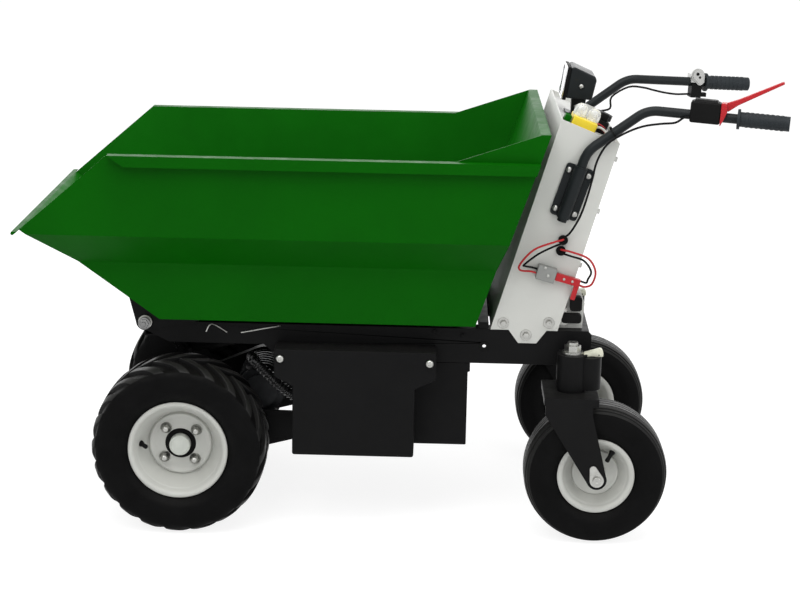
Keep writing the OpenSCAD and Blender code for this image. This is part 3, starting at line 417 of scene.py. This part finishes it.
def split(name, test, material):
    """Gives the faces of a CAD node that pass the test a second finish."""
    obj = nodes[name]
    obj.data.materials.append(material)
    for polygon in obj.data.polygons:
        if test(obj.matrix_world @ polygon.center, obj.matrix_world.to_3x3() @ polygon.normal):
            polygon.material_index = 1


for side in SIDES:
    split("caster_fork_" + side, lambda p, n: p.z > HOUSING_TOP, ZINC)
# Faces that look into the skip take the lighter green, painted light on the inside walls.
for name in ("skip_floor", "skip_side_left", "skip_side_right", "skip_back"):
    split(name, lambda p, n: n.dot((LOAD_MIDDLE - p).normalized()) > LOAD_FACING, INNER_GREEN_PAINTED_LIGHT)


# Wheel fittings, with turned profiles as radius and height

VALVE_STEM = ((0.0075, -0.002), (0.0072, 0.002), (0.0052, 0.006), (0.0046, 0.016), (0.0052, 0.0175),
              (0.0052, 0.0245), (0.0040, 0.026), (0, 0.026))
HUB_GAP = ((0.0360, 0.0118), (0.0356, 0.0128), (0.0346, 0.0132), (0.0336, 0.0126), (0.0235, 0.0125))
HUB_CAP = ((0.0242, 0.0120), (0.0244, 0.0295), (0.0232, 0.0318), (0.0205, 0.0326), (0.0196, 0.0316),
           (0.0150, 0.0312), (0, 0.0312))
AXLE_END = ((0.0100, 0.0002), (0.0098, 0.0012), (0.0086, 0.0020), (0.0030, 0.0020), (0.0016, 0.0008),
            (0, 0.0006))
NUT_COUNT, NUT_CIRCLE, NUT_TURN, DISC_FACE = 4, 0.050, 48, 0.0119
# Radius and depth of a valve's foot, its angle round the wheel in degrees and its lean in radians
FRONT_VALVE = (0.0885, 0.038, 3, 0.95)
CASTER_VALVE = (0.0655, 0.0335, 124, 0.45)


def valve(bm, frame_m, side, radius, depth, angle, lean):
    """A rubber valve stem that leans from the rim's slope toward the axle."""
    a = math.radians(-side * angle)
    base = Vector((radius * math.cos(a), radius * math.sin(a), depth))
    inward = Vector((-math.cos(a), -math.sin(a), 0)) * math.cos(lean) + Vector((0, 0, 1)) * math.sin(lean)
    start = frame_m @ base
    stem = place(start, frame_m.to_3x3() @ inward)
    lathe(bm, VALVE_STEM, stem, 16)


def wheel_nut(bm, frame_m):
    """A nut with a conical seat and a domed end."""
    lathe(bm, [(0.0135, 0), (0.0130, 0.002), (0.0112, 0.005)], frame_m, 24)
    lathe(bm, [(0.0112, 0.0045), (0.0106, 0.006), (0.0106, 0.012), (0.0092, 0.014)], frame_m, 6)
    lathe(bm, [(0.0090, 0.0132), (0.0084, 0.0165), (0.0062, 0.0195), (0.0030, 0.0210), (0, 0.0214)],
          frame_m, 20)


for side, s in SIDES.items():
    hub = wheel_frame(AXLE_X, WHEEL_Y, WHEEL_R, s)
    body = "front_wheel_" + side
    nuts, ring, cap, stem = (bmesh.new() for _ in range(4))
    for k in range(NUT_COUNT):
        a = math.radians(NUT_TURN + 360 / NUT_COUNT * k)
        spot = Vector((math.cos(a), -s * math.sin(a), 0)) * NUT_CIRCLE + Vector((0, 0, DISC_FACE))
        wheel_nut(nuts, hub @ Matrix.Translation(spot))
    lathe(ring, HUB_GAP, hub, 48)
    lathe(cap, HUB_CAP, hub, 48)
    valve(stem, hub, s, *FRONT_VALVE)
    piece("wheel_nuts_" + side, nuts, body, ZINC)
    piece("hub_gap_" + side, ring, body, RUBBER)
    piece("hub_cap_" + side, cap, body, CAP)
    piece("valve_" + side, stem, body, RUBBER)

    caster = wheel_frame(CASTER_X, CASTER_Y, CASTER_R, s)
    stem, dots = bmesh.new(), bmesh.new()
    valve(stem, caster, s, *CASTER_VALVE)
    piece("caster_valve_" + side, stem, "caster_wheel_" + side, RUBBER)
    for face in (1, -1):
        end = place((CASTER_X, s * CASTER_Y + face * FORK_FACE, CASTER_R), (0, face, 0))
        lathe(dots, AXLE_END, end, 24)
    piece("caster_axle_ends_" + side, dots, "caster_" + side, ZINC)


# Rims in finer form: rolled lips, stepped dishes and a raised disc edge, as radius and height in millimetres

FRONT_RIM = ((0, 12), (58, 12), (62, 12.4), (65.5, 14), (69, 15), (71.5, 14.6), (73, 13), (73.8, 10),
             (74.8, 8.6), (76.2, 8.8), (77.5, 11), (80, 18), (95, 49), (96.8, 52), (98.5, 53.5), (100, 55),
             (100.8, 58.5), (103, 63.2), (106.2, 66.2), (109.8, 67.6), (113, 67.5), (114.9, 66.4),
             (115.5, 64.8), (115.2, 63.6), (103, 63.5), (101.5, 61), (78, 10), (78, 3))
FRONT_BACK = ((78, 3), (101.5, -61.5), (103, -63.5), (115.2, -63.6), (115.5, -64.8), (114.9, -66.4),
              (113, -67.5), (109.8, -67.6), (106.2, -66.2), (103, -63.2), (97.5, -60), (74, 2), (70, 6.5),
              (62, 7), (62, -5), (32, -5), (32, -79.5), (15, -79.5), (15, -162.5), (0, -162.5))
CASTER_RIM = ((10.1, 69.5), (22.5, 69.5), (24, 68), (24, 19), (25.5, 17.2), (44, 17), (48, 18.5),
              (50.5, 19.5), (52.5, 19), (53.5, 17), (54.2, 15), (55, 14), (56.2, 15), (58, 19), (69, 36),
              (70.5, 38.5), (72.2, 39.5), (73.5, 41.2), (74.5, 44), (76.8, 47), (80, 48.6), (83.5, 49.2),
              (86.8, 49), (88.4, 48.2), (89, 46.8), (88.7, 45.2), (76.5, 45), (75, 43), (58, 15), (58, 8),
              (75, -43), (76.5, -45), (88.7, -45.2), (89, -46.8), (88.4, -48.2), (86.8, -49), (83.5, -49.2),
              (80, -48.6), (76.8, -47), (73.5, -44), (54.5, 8), (50, 11.8), (24, 12), (24, -68),
              (22.5, -69.5), (10.1, -69.5), (10.1, 69.5))


def turned(name, profile, frame_m, body, material):
    """A piece turned from a profile in millimetres."""
    bm = bmesh.new()
    lathe(bm, [(r / 1000, z / 1000) for r, z in profile], frame_m, 96)
    bmesh.ops.remove_doubles(bm, verts=bm.verts, dist=0.00001)
    return piece(name, bm, body, material, smooth=40)


for side, s in SIDES.items():
    hub = wheel_frame(AXLE_X, WHEEL_Y, WHEEL_R, s)
    dish = turned("front_dish_" + side, FRONT_RIM, hub, "front_wheel_" + side, RIM)
    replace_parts(dish, "front_rim_" + side)
    # Black on the rim's inner half and hub is painted shade: the real rim has the dish's paint on that side
    # too.
    turned("front_rim_back_" + side, FRONT_BACK, hub, "front_wheel_" + side, BLACK)
    caster = wheel_frame(CASTER_X, CASTER_Y, CASTER_R, s)
    dish = turned("caster_dish_" + side, CASTER_RIM, caster, "caster_wheel_" + side, RIM)
    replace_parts(dish, "caster_rim_" + side)


# Tyres in finer form: rings lie across the tyre, columns run round it

FRONT_LUGS, LUG_SLANT = 20, -24
LUG_EDGES = (0, 0.055, 0.08, 0.25, 0.42, 0.445, 0.5, 0.75)
LUG_RISE = (0, 0.86, 1, 1, 1, 0.86, 0, 0)
FLANGE_CLEAR = 0.0013
# Shares of a tyre's wall from which its front lugs or its caster crown have the lighter tread rubber, a
# painted highlight
TREAD_FROM, CROWN_FROM = 0.86, 0.80


def smooth_rows(rows, steps):
    """Rows of a smooth curve through the given ones."""
    out = []
    for i in range(len(rows) - 1):
        a, b, c, d = rows[max(i - 1, 0)], rows[i], rows[i + 1], rows[min(i + 2, len(rows) - 1)]
        for k in range(steps):
            t = k / steps
            out.append([0.5 * (2 * q + (r - p) * t + (2 * p - 5 * q + 4 * r - s) * t * t
                               + (3 * q - p - 3 * r + s) * t ** 3) for p, q, r, s in zip(a, b, c, d)])
    return out + [rows[-1]]


def lugged_tyre(bm, frame_m, width, radius, flange, bead, seat):
    """A tyre with two staggered rows of slanted lugs. A row is its distance from the middle, the radii
    between and on the lugs, the share of the lugs' own spacing round it and its share of the slant."""
    wall = radius - flange

    def at(y, low, high, weight, turn):
        return [y * width / 2, flange + low * wall, flange + high * wall, weight, turn]

    foot = flange + FLANGE_CLEAR
    half = smooth_rows([[bead, foot, foot, 0, 1], at(0.94, 0.20, 0.20, 0, 1), at(0.995, 0.42, 0.42, 0, 1),
                        at(0.98, 0.66, 0.66, 0, 1), at(0.93, 0.79, 0.80, 1, 0.96),
                        at(0.84, 0.855, 0.90, 1, 0.87), at(0.58, 0.885, 0.983, 1, 0.6),
                        at(0.06, 0.905, 1.0, 1, 0.06)], 4)
    half = [[bead, seat, seat, 0, 1]] + half
    pitch, per, slant = 2 * math.pi / FRONT_LUGS, len(LUG_EDGES), math.radians(LUG_SLANT)
    start = math.pi / 2 - LUG_EDGES[2] * pitch + half[-1][4] * slant
    rings = []
    for face, stagger, rows in ((1, 0, half), (-1, 0.5, half[::-1])):
        for y, low, high, weight, turn in rows:
            ring = []
            for k in range(FRONT_LUGS * per):
                spaced = (1 - weight) * (k % per) / per + weight * LUG_EDGES[k % per]
                a = start + (k // per + spaced + stagger) * pitch - turn * slant
                r = low + (high - low) * LUG_RISE[k % per]
                ring.append(bm.verts.new(frame_m @ Vector((r * math.cos(a), -r * math.sin(a), face * y))))
            rings.append(ring)
    count = len(rings[0])
    for lower, upper in zip(rings, rings[1:] + rings[:1]):
        for k in range(count):
            n = (k + 1) % count
            face = bm.faces.new((lower[k], lower[n], upper[n], upper[k]))
            face_r = (frame_m.inverted() @ face.calc_center_median()).xy.length
            on_lug = LUG_RISE[k % per] + LUG_RISE[n % per] > 1.8
            # Index 1 is the lighter tread rubber, a painted highlight on the lug tops.
            face.material_index = 1 if on_lug and face_r > flange + TREAD_FROM * wall else 0


def ribbed_tyre(bm, frame_m, width, radius, flange, bead, seat):
    """A tyre with grooves round its crown and finer ones round both shoulders, out of shares of its half
    width and of its wall."""
    shares = [(0.80, 0.06), (0.94, 0.26), (1.0, 0.46), (0.985, 0.62), (0.945, 0.745), (0.90, 0.835)]
    for middle in (0.80, 0.69, 0.58):
        rise = 1 - 1.45 * (middle - 0.45) ** 2
        edge, floor = rise - 0.045, rise - 0.080
        shares += [(middle + 0.036, edge), (middle + 0.030, floor), (middle + 0.010, floor),
                   (middle + 0.004, rise - 0.01), (middle - 0.030, rise)]
    for middle in (0.38, 0.13):
        shares += [(middle + 0.032, 0.998), (middle + 0.026, 0.94), (middle - 0.026, 0.94),
                   (middle - 0.032, 1.0)]
    wall = radius - flange
    half = [(y * width / 2, flange + h * wall) for y, h in shares]
    half = [(bead, seat), (bead, flange + FLANGE_CLEAR)] + half
    loop = half + [(-y, r) for y, r in half[::-1]]
    lathe(bm, [(r, y) for y, r in loop + loop[:1]], frame_m, 96)
    for face in bm.faces:
        face_r = (frame_m.inverted() @ face.calc_center_median()).xy.length
        # Index 1 is the lighter tread rubber, a painted highlight on the crown.
        face.material_index = 1 if face_r > flange + CROWN_FROM * wall else 0


# Width, outer radius, flange radius, bead's distance from the middle and seat radius
FRONT_TYRE = (0.165, WHEEL_R, 0.1155, 0.0632, 0.1035)
CASTER_TYRE = (0.125, CASTER_R, 0.0890, 0.0447, 0.0770)
for side, s in SIDES.items():
    for name, build, spot, size in (("front", lugged_tyre, (AXLE_X, WHEEL_Y, WHEEL_R), FRONT_TYRE),
                                    ("caster", ribbed_tyre, (CASTER_X, CASTER_Y, CASTER_R), CASTER_TYRE)):
        bm = bmesh.new()
        build(bm, wheel_frame(*spot, s), *size)
        bmesh.ops.remove_doubles(bm, verts=bm.verts, dist=0.00001)
        # The lighter tread faces of these tyres are a painted highlight.
        tyre = piece("worn_" + name + "_tyre_" + side, bm, name + "_wheel_" + side, TYRE,
                     smooth=32)
        tyre.data.materials.append(TREAD_PAINTED_HIGHLIGHT)
        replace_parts(tyre, name + "_tyre_" + side)


# Bolts, as distance forward and height on faces that look to the side, and the rear cover's screws by height

PLATE_FACE = 0.2060
COVER_BOLTS = ((0.2659, 0.4189), (-0.0772, 0.4156))
FOOT_BOLTS = ((-0.2445, 0.4991), (-0.3492, 0.5022), (-0.2973, 0.4717))
RAIL_BOLTS = ((-0.0875, 0.4751), (-0.1518, 0.4671))
PLATE_BOLT = (-0.3855, 0.497)
CLAMP_BOLTS = ((22.5, 46.5), (-22.5, 46.5), (22.5, -46.5), (-22.5, -46.5))
REAR_SCREWS, REAR_SCREW_Y = (0.8855, 0.7647, 0.6377, 0.5300), 0.217
# Radius and height of round heads, and width across the flats of hexagons
COVER_HEAD, CLAMP_HEAD = (0.0095, 0.006), (0.0072, 0.0055)
FOOT_HEX, RAIL_HEX, REAR_HEX, PLATE_HEX = 0.0130, 0.0070, 0.0100, 0.0100
REAR_FOOT, REAR_LEAN, REAR_OUT = Vector((-0.370, 0, 0.483)), -0.1231 / 0.440, Vector((-0.963, 0, -0.2694))

bolts, clamps, dark, pale = (bmesh.new() for _ in range(4))
for s in SIDES.values():
    out = (0, s, 0)
    for x, z in COVER_BOLTS:
        dome_bolt(bolts, place((x, s * COVER_FACE, z), out), *COVER_HEAD)
    for x, z in FOOT_BOLTS:
        hex_bolt(bolts, place((x, s * FOOT_FACE, z), out), FOOT_HEX)
    for x, z in RAIL_BOLTS:
        hex_bolt(dark, place((x, s * RAIL_FACE, z), out), RAIL_HEX)
    for across, along in CLAMP_BOLTS:
        dome_bolt(clamps, place(on_clamp(across, along, s), out), *CLAMP_HEAD)
    for z in REAR_SCREWS:
        x = REAR_FOOT.x + REAR_LEAN * (z - REAR_FOOT.z)
        hex_bolt(pale, place((x, s * REAR_SCREW_Y, z), REAR_OUT), REAR_HEX)
    hex_bolt(bolts, place((PLATE_BOLT[0], s * PLATE_FACE, PLATE_BOLT[1]), out), PLATE_HEX)
piece("frame_bolts", bolts, "chassis", ZINC)
piece("clamp_bolts", clamps, "chassis", ZINC)
piece("rail_bolts", dark, "chassis", BLACK)
piece("cover_screws", pale, "chassis", WHITE)


# Grommets in the lashing holes

LASHING_BACK, LASHING_Z = 0.700, 0.4415
GROMMET = ((0.0045, 0.0016), (0.0068, 0.0024), (0.0112, 0.0018), (0.0118, 0.0002), (0.0078, 0.0002),
           (0.0078, -0.0052), (0.0112, -0.0054), (0.0066, -0.0074), (0.0045, -0.0066), (0.0045, 0.0016))
grommets = bmesh.new()
for s in SIDES.values():
    hole = place((AXLE_X - LASHING_BACK, s * RAIL_FACE, LASHING_Z), (0, s, 0))
    lathe(grommets, GROMMET, hole, 32)
piece("lashing_grommets", grommets, "chassis", RUBBER)


# Nuts and studs on the ends of the skip's pivot pins

nuts = bmesh.new()
for s in SIDES.values():
    end = place((PIVOT_X, s * PIVOT_END, PIVOT_Z), (0, s, 0))
    lathe(nuts, [(0.0142, -0.0002), (0.0142, 0.0012), (0.0134, 0.0016), (0.0095, 0.0016)], end, 28)
    lathe(nuts, [(0.0112, 0.0014), (0.0112, 0.0062), (0.0100, 0.0072), (0.0058, 0.0072)], end, 6)
    lathe(nuts, [(0.0056, 0.0060), (0.0056, 0.0104), (0.0048, 0.0112), (0, 0.0112)], end, 24)
piece("pivot_nuts", nuts, "skip", STEEL_DARK)


# Moulded lock levers of the casters, drawn from the side as distance behind the pivot and height

LOCK_OUTLINE = ((-6, 0), (-6, 4), (-3, 7), (1, 7.8), (31, 17.6), (35.5, 17), (38.6, 13), (39.8, 6), (39, 1),
                (36, 0), (22, 0), (18, 2.6), (12, 2.6), (8, 0))
LOCK_PINS = ((1, 3, 0.0026), (29.5, 4.5, 0.0018))
LOCK_X, LOCK_Z, LOCK_HALF = -0.4335, 0.4392, 0.010


def on_lock(back, up, y):
    """A point of a lock lever, from its pivot in millimetres, at y."""
    return Vector((LOCK_X - back / 1000, y, LOCK_Z + up / 1000))


levers, dots = bmesh.new(), bmesh.new()
for s in SIDES.values():
    rows = [[levers.verts.new(on_lock(d, h, s * CASTER_Y + half)) for d, h in LOCK_OUTLINE]
            for half in (-LOCK_HALF, LOCK_HALF)]
    levers.faces.new(rows[0])
    levers.faces.new(rows[1])
    for k in range(len(LOCK_OUTLINE)):
        n = (k + 1) % len(LOCK_OUTLINE)
        levers.faces.new((rows[0][k], rows[0][n], rows[1][n], rows[1][k]))
    for d, h, radius in LOCK_PINS:
        for face in (1, -1):
            spot = place(on_lock(d, h, s * CASTER_Y + face * LOCK_HALF), (0, face, 0))
            lathe(dots, [(radius, 0), (0.8 * radius, 0.0004), (0, 0.0004)], spot, 16)
bmesh.ops.bevel(levers, geom=list(levers.edges), offset=0.0011, segments=2, affect="EDGES", profile=0.5)
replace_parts(piece("lock_levers", levers, "chassis", CREAM), "caster_locks")
piece("lock_pins", dots, "chassis", RUBBER)


# Ribbed conduit from a gland on the motor to the battery case, and two thin lines on the rail

def ribbed(bm, points, low, high, pitch):
    """A conduit along points, with four rings to a rib."""
    route = curve_points(points, 60)
    even, run = [route[0]], 0.0
    for start, end in zip(route, route[1:]):
        run += (end - start).length
        if run >= pitch / 4:
            even.append(end)
            run = 0.0
    tube(bm, even, [high if k % 4 < 2 else low for k in range(len(even))], 20)


CONDUIT = ((0.346, 0.104, 0.350), (0.348, 0.115, 0.367), (0.344, 0.138, 0.372), (0.330, 0.150, 0.360),
           (0.303, 0.153, 0.334), (0.272, 0.150, 0.304), (0.237, 0.148, 0.280))
CONDUIT_LOW, CONDUIT_HIGH, CONDUIT_PITCH = 0.0105, 0.0132, 0.0088
GLAND, GLAND_EDGE = (0.031, 0.031, 0.026), 0.003
GREASE_LINES = (((0.4427, 0.4610), (0.4290, 0.4790), (0.3939, 0.4600)),
                ((0.3614, 0.4600), (0.3128, 0.4705), (0.2700, 0.4790)))
GREASE_R, GREASE_SUNK = 0.0016, 0.0002
conduit, lines = bmesh.new(), bmesh.new()
ribbed(conduit, CONDUIT, CONDUIT_LOW, CONDUIT_HIGH, CONDUIT_PITCH)
start = place(CONDUIT[0], Vector(CONDUIT[1]) - Vector(CONDUIT[0]))
soft_box(conduit, GLAND, start, GLAND_EDGE)
piece("motor_conduit", conduit, "chassis", CONDUIT_BLACK)
for points in GREASE_LINES:
    route = [(x, RAIL_FACE + GREASE_R - GREASE_SUNK, z) for x, z in points]
    tube(lines, curve_points(route, 6), GREASE_R, 8)
piece("grease_lines", lines, "chassis", ZINC)


# Lamp with its hood, bezel and cells, and small screws on it and on the battery plug

LAMP_FOOT = Vector((LAMP_FRONT, 0, 0.994))
LAMP_UP, LAMP_AHEAD = Vector((-0.147, 0, 0.989)), Vector((0.989, 0, 0.147))
LAMP_EDGES = ((1.2, 0, (0.107, 0.005)), (73.6, 0, (0.107, 0.005)), (37.4, 51.2, (0.005, 0.077)),
              (37.4, -51.2, (0.005, 0.077)))
HOOD_DEPTH, HOOD_OUT, HOOD_EDGE = 0.0084, -4.6, 0.001
BEZEL_DEPTH, BEZEL_OUT, BEZEL_EDGE = 0.0030, 0.9, 0.0008
CELL_ROWS, CELL_COLUMNS, CELL_OUT = (20, 54), (-33, 0, 33), -8.0
LAMP_CELL = ((0.0135, 0.0062), (0.0125, 0.0060), (0.0085, 0.0022), (0.0045, 0.0010), (0, 0.0010))
LAMP_PIVOT, BRACKET_SCREW = Vector((-0.4141, 0.0520, 1.0244)), Vector((-0.4060, 0.0120, 0.972))
PLUG_SCREWS = ((-0.3355, 0.6366), (-0.3419, 0.6180))
PULL_MID, PULL_TILT, PULL_SCREWS = Vector((-0.344, PULL_FACE, 0.620)), math.radians(15), (-36, -56)
LAMP_HEAD, BRACKET_HEAD = (0.0055, 0.004), (0.0045, 0.003)
PLUG_HEAD, PULL_HEAD = (0.0035, 0.002), (0.0032, 0.002)


def lamp_frame(along, y, out):
    """A frame on the lamp's front: along it from its lower edge, y, and out from it, in millimetres."""
    spot = LAMP_FOOT + (LAMP_UP * along + Vector((0, y, 0)) + LAMP_AHEAD * out) / 1000
    return place(spot, LAMP_AHEAD, (0, 1, 0))


bezel, hood, cells, screws = (bmesh.new() for _ in range(4))
for along, y, size in LAMP_EDGES:
    soft_box(hood, (*size, HOOD_DEPTH), lamp_frame(along, y, HOOD_OUT), HOOD_EDGE)
    soft_box(bezel, (*size, BEZEL_DEPTH), lamp_frame(along, y, BEZEL_OUT), BEZEL_EDGE)
for row in CELL_ROWS:
    for column in CELL_COLUMNS:
        lathe(cells, LAMP_CELL, lamp_frame(row, column, CELL_OUT), 28)
for s in SIDES.values():
    across = Vector((1, s, 1))
    dome_bolt(screws, place(LAMP_PIVOT * across, (0, s, 0)), *LAMP_HEAD)
    dome_bolt(screws, place(BRACKET_SCREW * across, (0, s, 0)), *BRACKET_HEAD)
for x, z in PLUG_SCREWS:
    dome_bolt(screws, place((x, PLUG_FACE, z), (0, 1, 0)), *PLUG_HEAD)
for k in PULL_SCREWS:
    spot = PULL_MID + Vector((math.cos(PULL_TILT), 0, math.sin(PULL_TILT))) * k / 1000
    dome_bolt(screws, place(spot, (0, 1, 0)), *PULL_HEAD)
piece("lamp_hood", hood, "chassis", PLASTIC)
piece("lamp_bezel", bezel, "chassis", CHROME)
piece("lamp_cells", cells, "chassis", CHROME)
piece("small_screws", screws, "chassis", ZINC)


# Wires, plugs and pilot light on the console's top

WIRES = (("red", RED_SHEATH, "cable_red"), ("white", WHITE, "white_paint"), ("black", RUBBER, "cable_black"),
         ("red_low", RED_SHEATH, "cable_red"), ("white_low", WHITE, "white_paint"))
WIRE_Y, WIRE_STEP, WIRE_R = 152, 11, 0.0026
for k, (name, material, slot) in enumerate(WIRES):
    bm = bmesh.new()
    y, lift = WIRE_Y + WIRE_STEP * k, 8 - 1.5 * (k % 2)
    route = ((-84, y, lift), (-92, y, lift + 3), (-104, y + 1, lift + 1), (-113, y + 2, lift - 6),
             (-117, y + 2, -11))
    tube(bm, curve_points([on_top(*point) for point in route], 6), WIRE_R, 10)
    piece("console_wire_" + name, bm, "chassis", material)


# Sizes, and places on the top in millimetres
PLUGS = (((0.026, 0.034, 0.030), (-105, 112, 5)), ((0.018, 0.026, 0.018), (-103, 112, 28)))
PILOT_LIGHT = ((0.016, 0.030, 0.022), (-15, 196, 1))
TOP_BOX_EDGE = 0.003


def top_box(bm, size, spot):
    """A box that stands along the console's sloping top."""
    stand = Matrix.Translation(on_top(*spot)) @ Matrix.Rotation(-TOP_SLOPE, 4, "Y")
    soft_box(bm, size, stand, TOP_BOX_EDGE)


plugs, pilot = bmesh.new(), bmesh.new()
for size, spot in PLUGS:
    top_box(plugs, size, spot)
top_box(pilot, *PILOT_LIGHT)
piece("console_plugs", plugs, "chassis", PLASTIC)
piece("console_pilot_light", pilot, "chassis", GREEN)


# Marks on the speed selector and the tie that holds a control cable

SELECTOR_OUT = (-0.194, 0.981, 0)
SELECTOR_MARKS = (((-0.7245, -0.2603, 1.0167), 0.0042), ((-0.7301, -0.2614, 1.0084), 0.0030))
TIE_AT, TIE_OUT = BEND_LOW.lerp(BEND_HIGH, 0.44), Vector((0.5, 0, 0.85)).normalized()
TIE_R, TIE_THICK, TIE_HALF = 0.0113, 0.0012, 0.0022
TIE_HEAD, TIE_EDGE = (0.006, 0.006, 0.005), 0.001
marks, ties = bmesh.new(), bmesh.new()
for spot, radius in SELECTOR_MARKS:
    lathe(marks, [(radius, -0.0004), (radius, 0.0003), (0.8 * radius, 0.0007), (0, 0.0007)],
          place(spot, SELECTOR_OUT), 20)
piece("selector_marks", marks, "chassis", PLASTIC)
band = place(TIE_AT, BEND_HIGH - BEND_LOW)
lathe(ties, [(TIE_R, -TIE_HALF), (TIE_R + TIE_THICK, -TIE_HALF), (TIE_R + TIE_THICK, TIE_HALF),
             (TIE_R, TIE_HALF), (TIE_R, -TIE_HALF)], band, 28)
soft_box(ties, TIE_HEAD, place(TIE_AT + TIE_OUT * (TIE_R + TIE_HEAD[2] / 2), TIE_OUT), TIE_EDGE)
piece("cable_tie", ties, "chassis", PLASTIC)


# Floor, light and camera

def shown_white(tree, path):
    """One on rays that show the background: to the camera, in gloss and through glass."""
    total = path.outputs["Is Camera Ray"]
    for ray in ("Is Glossy Ray", "Is Transmission Ray"):
        node = tree.nodes.new("ShaderNodeMath")
        node.operation = "MAXIMUM"
        tree.links.new(total, node.inputs[0])
        tree.links.new(path.outputs[ray], node.inputs[1])
        total = node.outputs[0]
    return total


FLOOR_SIZE, FLOOR_WHITE, FLOOR_WHITE_SHARE = 30, 1.36, 0.62


def stage_floor():
    """A pale floor that keeps the object's shadow and shows white beyond it."""
    bm = bmesh.new()
    bmesh.ops.create_grid(bm, x_segments=1, y_segments=1, size=FLOOR_SIZE)
    mesh = bpy.data.meshes.new("floor")
    bm.to_mesh(mesh)
    bm.free()
    floor = bpy.data.objects.new("floor", mesh)
    bpy.context.scene.collection.objects.link(floor)
    material, tree, shader = node_material("floor_pale")
    shader.inputs["Base Color"].default_value = (0.88, 0.88, 0.88, 1)
    shader.inputs["Roughness"].default_value = 0.9
    shader.inputs["Specular IOR Level"].default_value = 0.0
    glow = tree.nodes.new("ShaderNodeEmission")
    glow.inputs["Color"].default_value = (1, 1, 1, 1)
    glow.inputs["Strength"].default_value = FLOOR_WHITE
    blend = tree.nodes.new("ShaderNodeMixShader")
    path = tree.nodes.new("ShaderNodeLightPath")
    share = tree.nodes.new("ShaderNodeMath")
    share.operation = "MULTIPLY"
    share.inputs[1].default_value = FLOOR_WHITE_SHARE
    tree.links.new(shown_white(tree, path), share.inputs[0])
    tree.links.new(share.outputs[0], blend.inputs["Fac"])
    tree.links.new(shader.outputs["BSDF"], blend.inputs[1])
    tree.links.new(glow.outputs["Emission"], blend.inputs[2])
    tree.links.new(blend.outputs["Shader"], tree.nodes["Material Output"].inputs["Surface"])
    mesh.materials.append(material)


def stage_world():
    world = bpy.data.worlds.new("studio")
    bpy.context.scene.world = world
    world.use_nodes = True
    tree = world.node_tree
    soft = tree.nodes["Background"]
    soft.inputs["Color"].default_value = (1, 1, 1, 1)
    soft.inputs["Strength"].default_value = 0.55
    white = tree.nodes.new("ShaderNodeBackground")
    white.inputs["Color"].default_value = (1, 1, 1, 1)
    white.inputs["Strength"].default_value = 1.0
    path = tree.nodes.new("ShaderNodeLightPath")
    blend = tree.nodes.new("ShaderNodeMixShader")
    tree.links.new(shown_white(tree, path), blend.inputs["Fac"])
    tree.links.new(soft.outputs["Background"], blend.inputs[1])
    tree.links.new(white.outputs["Background"], blend.inputs[2])
    tree.links.new(blend.outputs["Shader"], tree.nodes["World Output"].inputs["Surface"])


def area_light(name, location, target, size, power):
    data = bpy.data.lights.new(name, "AREA")
    data.shape = "RECTANGLE"
    data.size, data.size_y = size
    data.energy = power
    light = bpy.data.objects.new(name, data)
    light.location = location
    light.rotation_euler = (Vector(target) - Vector(location)).to_track_quat("-Z", "Y").to_euler()
    bpy.context.scene.collection.objects.link(light)


def stage_camera():
    """The photograph's view, solved from the wheels and the skip's corners."""
    focal_px, image_w, sensor = 1945.7, 800, 36.0
    location = Vector((-0.0836, 4.5694, 1.6691))
    yaw, pitch, roll = 0.01807, 0.2531, 0.01981
    right = Vector((-math.cos(yaw), -math.sin(yaw), 0))
    ahead = Vector((math.sin(yaw), -math.cos(yaw), 0))
    up = Vector((0, 0, 1))
    look = ahead * math.cos(pitch) - up * math.sin(pitch)
    top = up * math.cos(pitch) + ahead * math.sin(pitch)
    side = right * math.cos(roll) + top * math.sin(roll)
    top = top * math.cos(roll) - right * math.sin(roll)
    data = bpy.data.cameras.new("camera")
    data.sensor_width = sensor
    data.lens = focal_px / image_w * sensor
    camera = bpy.data.objects.new("camera", data)
    pose = Matrix((side, top, -look)).transposed().to_4x4()
    pose.translation = location
    camera.matrix_world = pose
    bpy.context.scene.collection.objects.link(camera)
    bpy.context.scene.camera = camera


stage_floor()
stage_world()
area_light("key", (1.6, 3.2, 3.6), (0.1, 0, 0.5), (2.6, 1.8), 44)
area_light("fill", (-2.6, 2.4, 2.0), (0, 0, 0.5), (2.0, 2.4), 24)
area_light("top", (0, 1.2, 4.2), (0, 0, 0.4), (3.6, 3.0), 110)
area_light("back", (0.2, -4.2, 1.6), (0, 0, 0.6), (6.0, 2.4), 50)
stage_camera()
bpy.context.scene.view_settings.view_transform = "Standard"
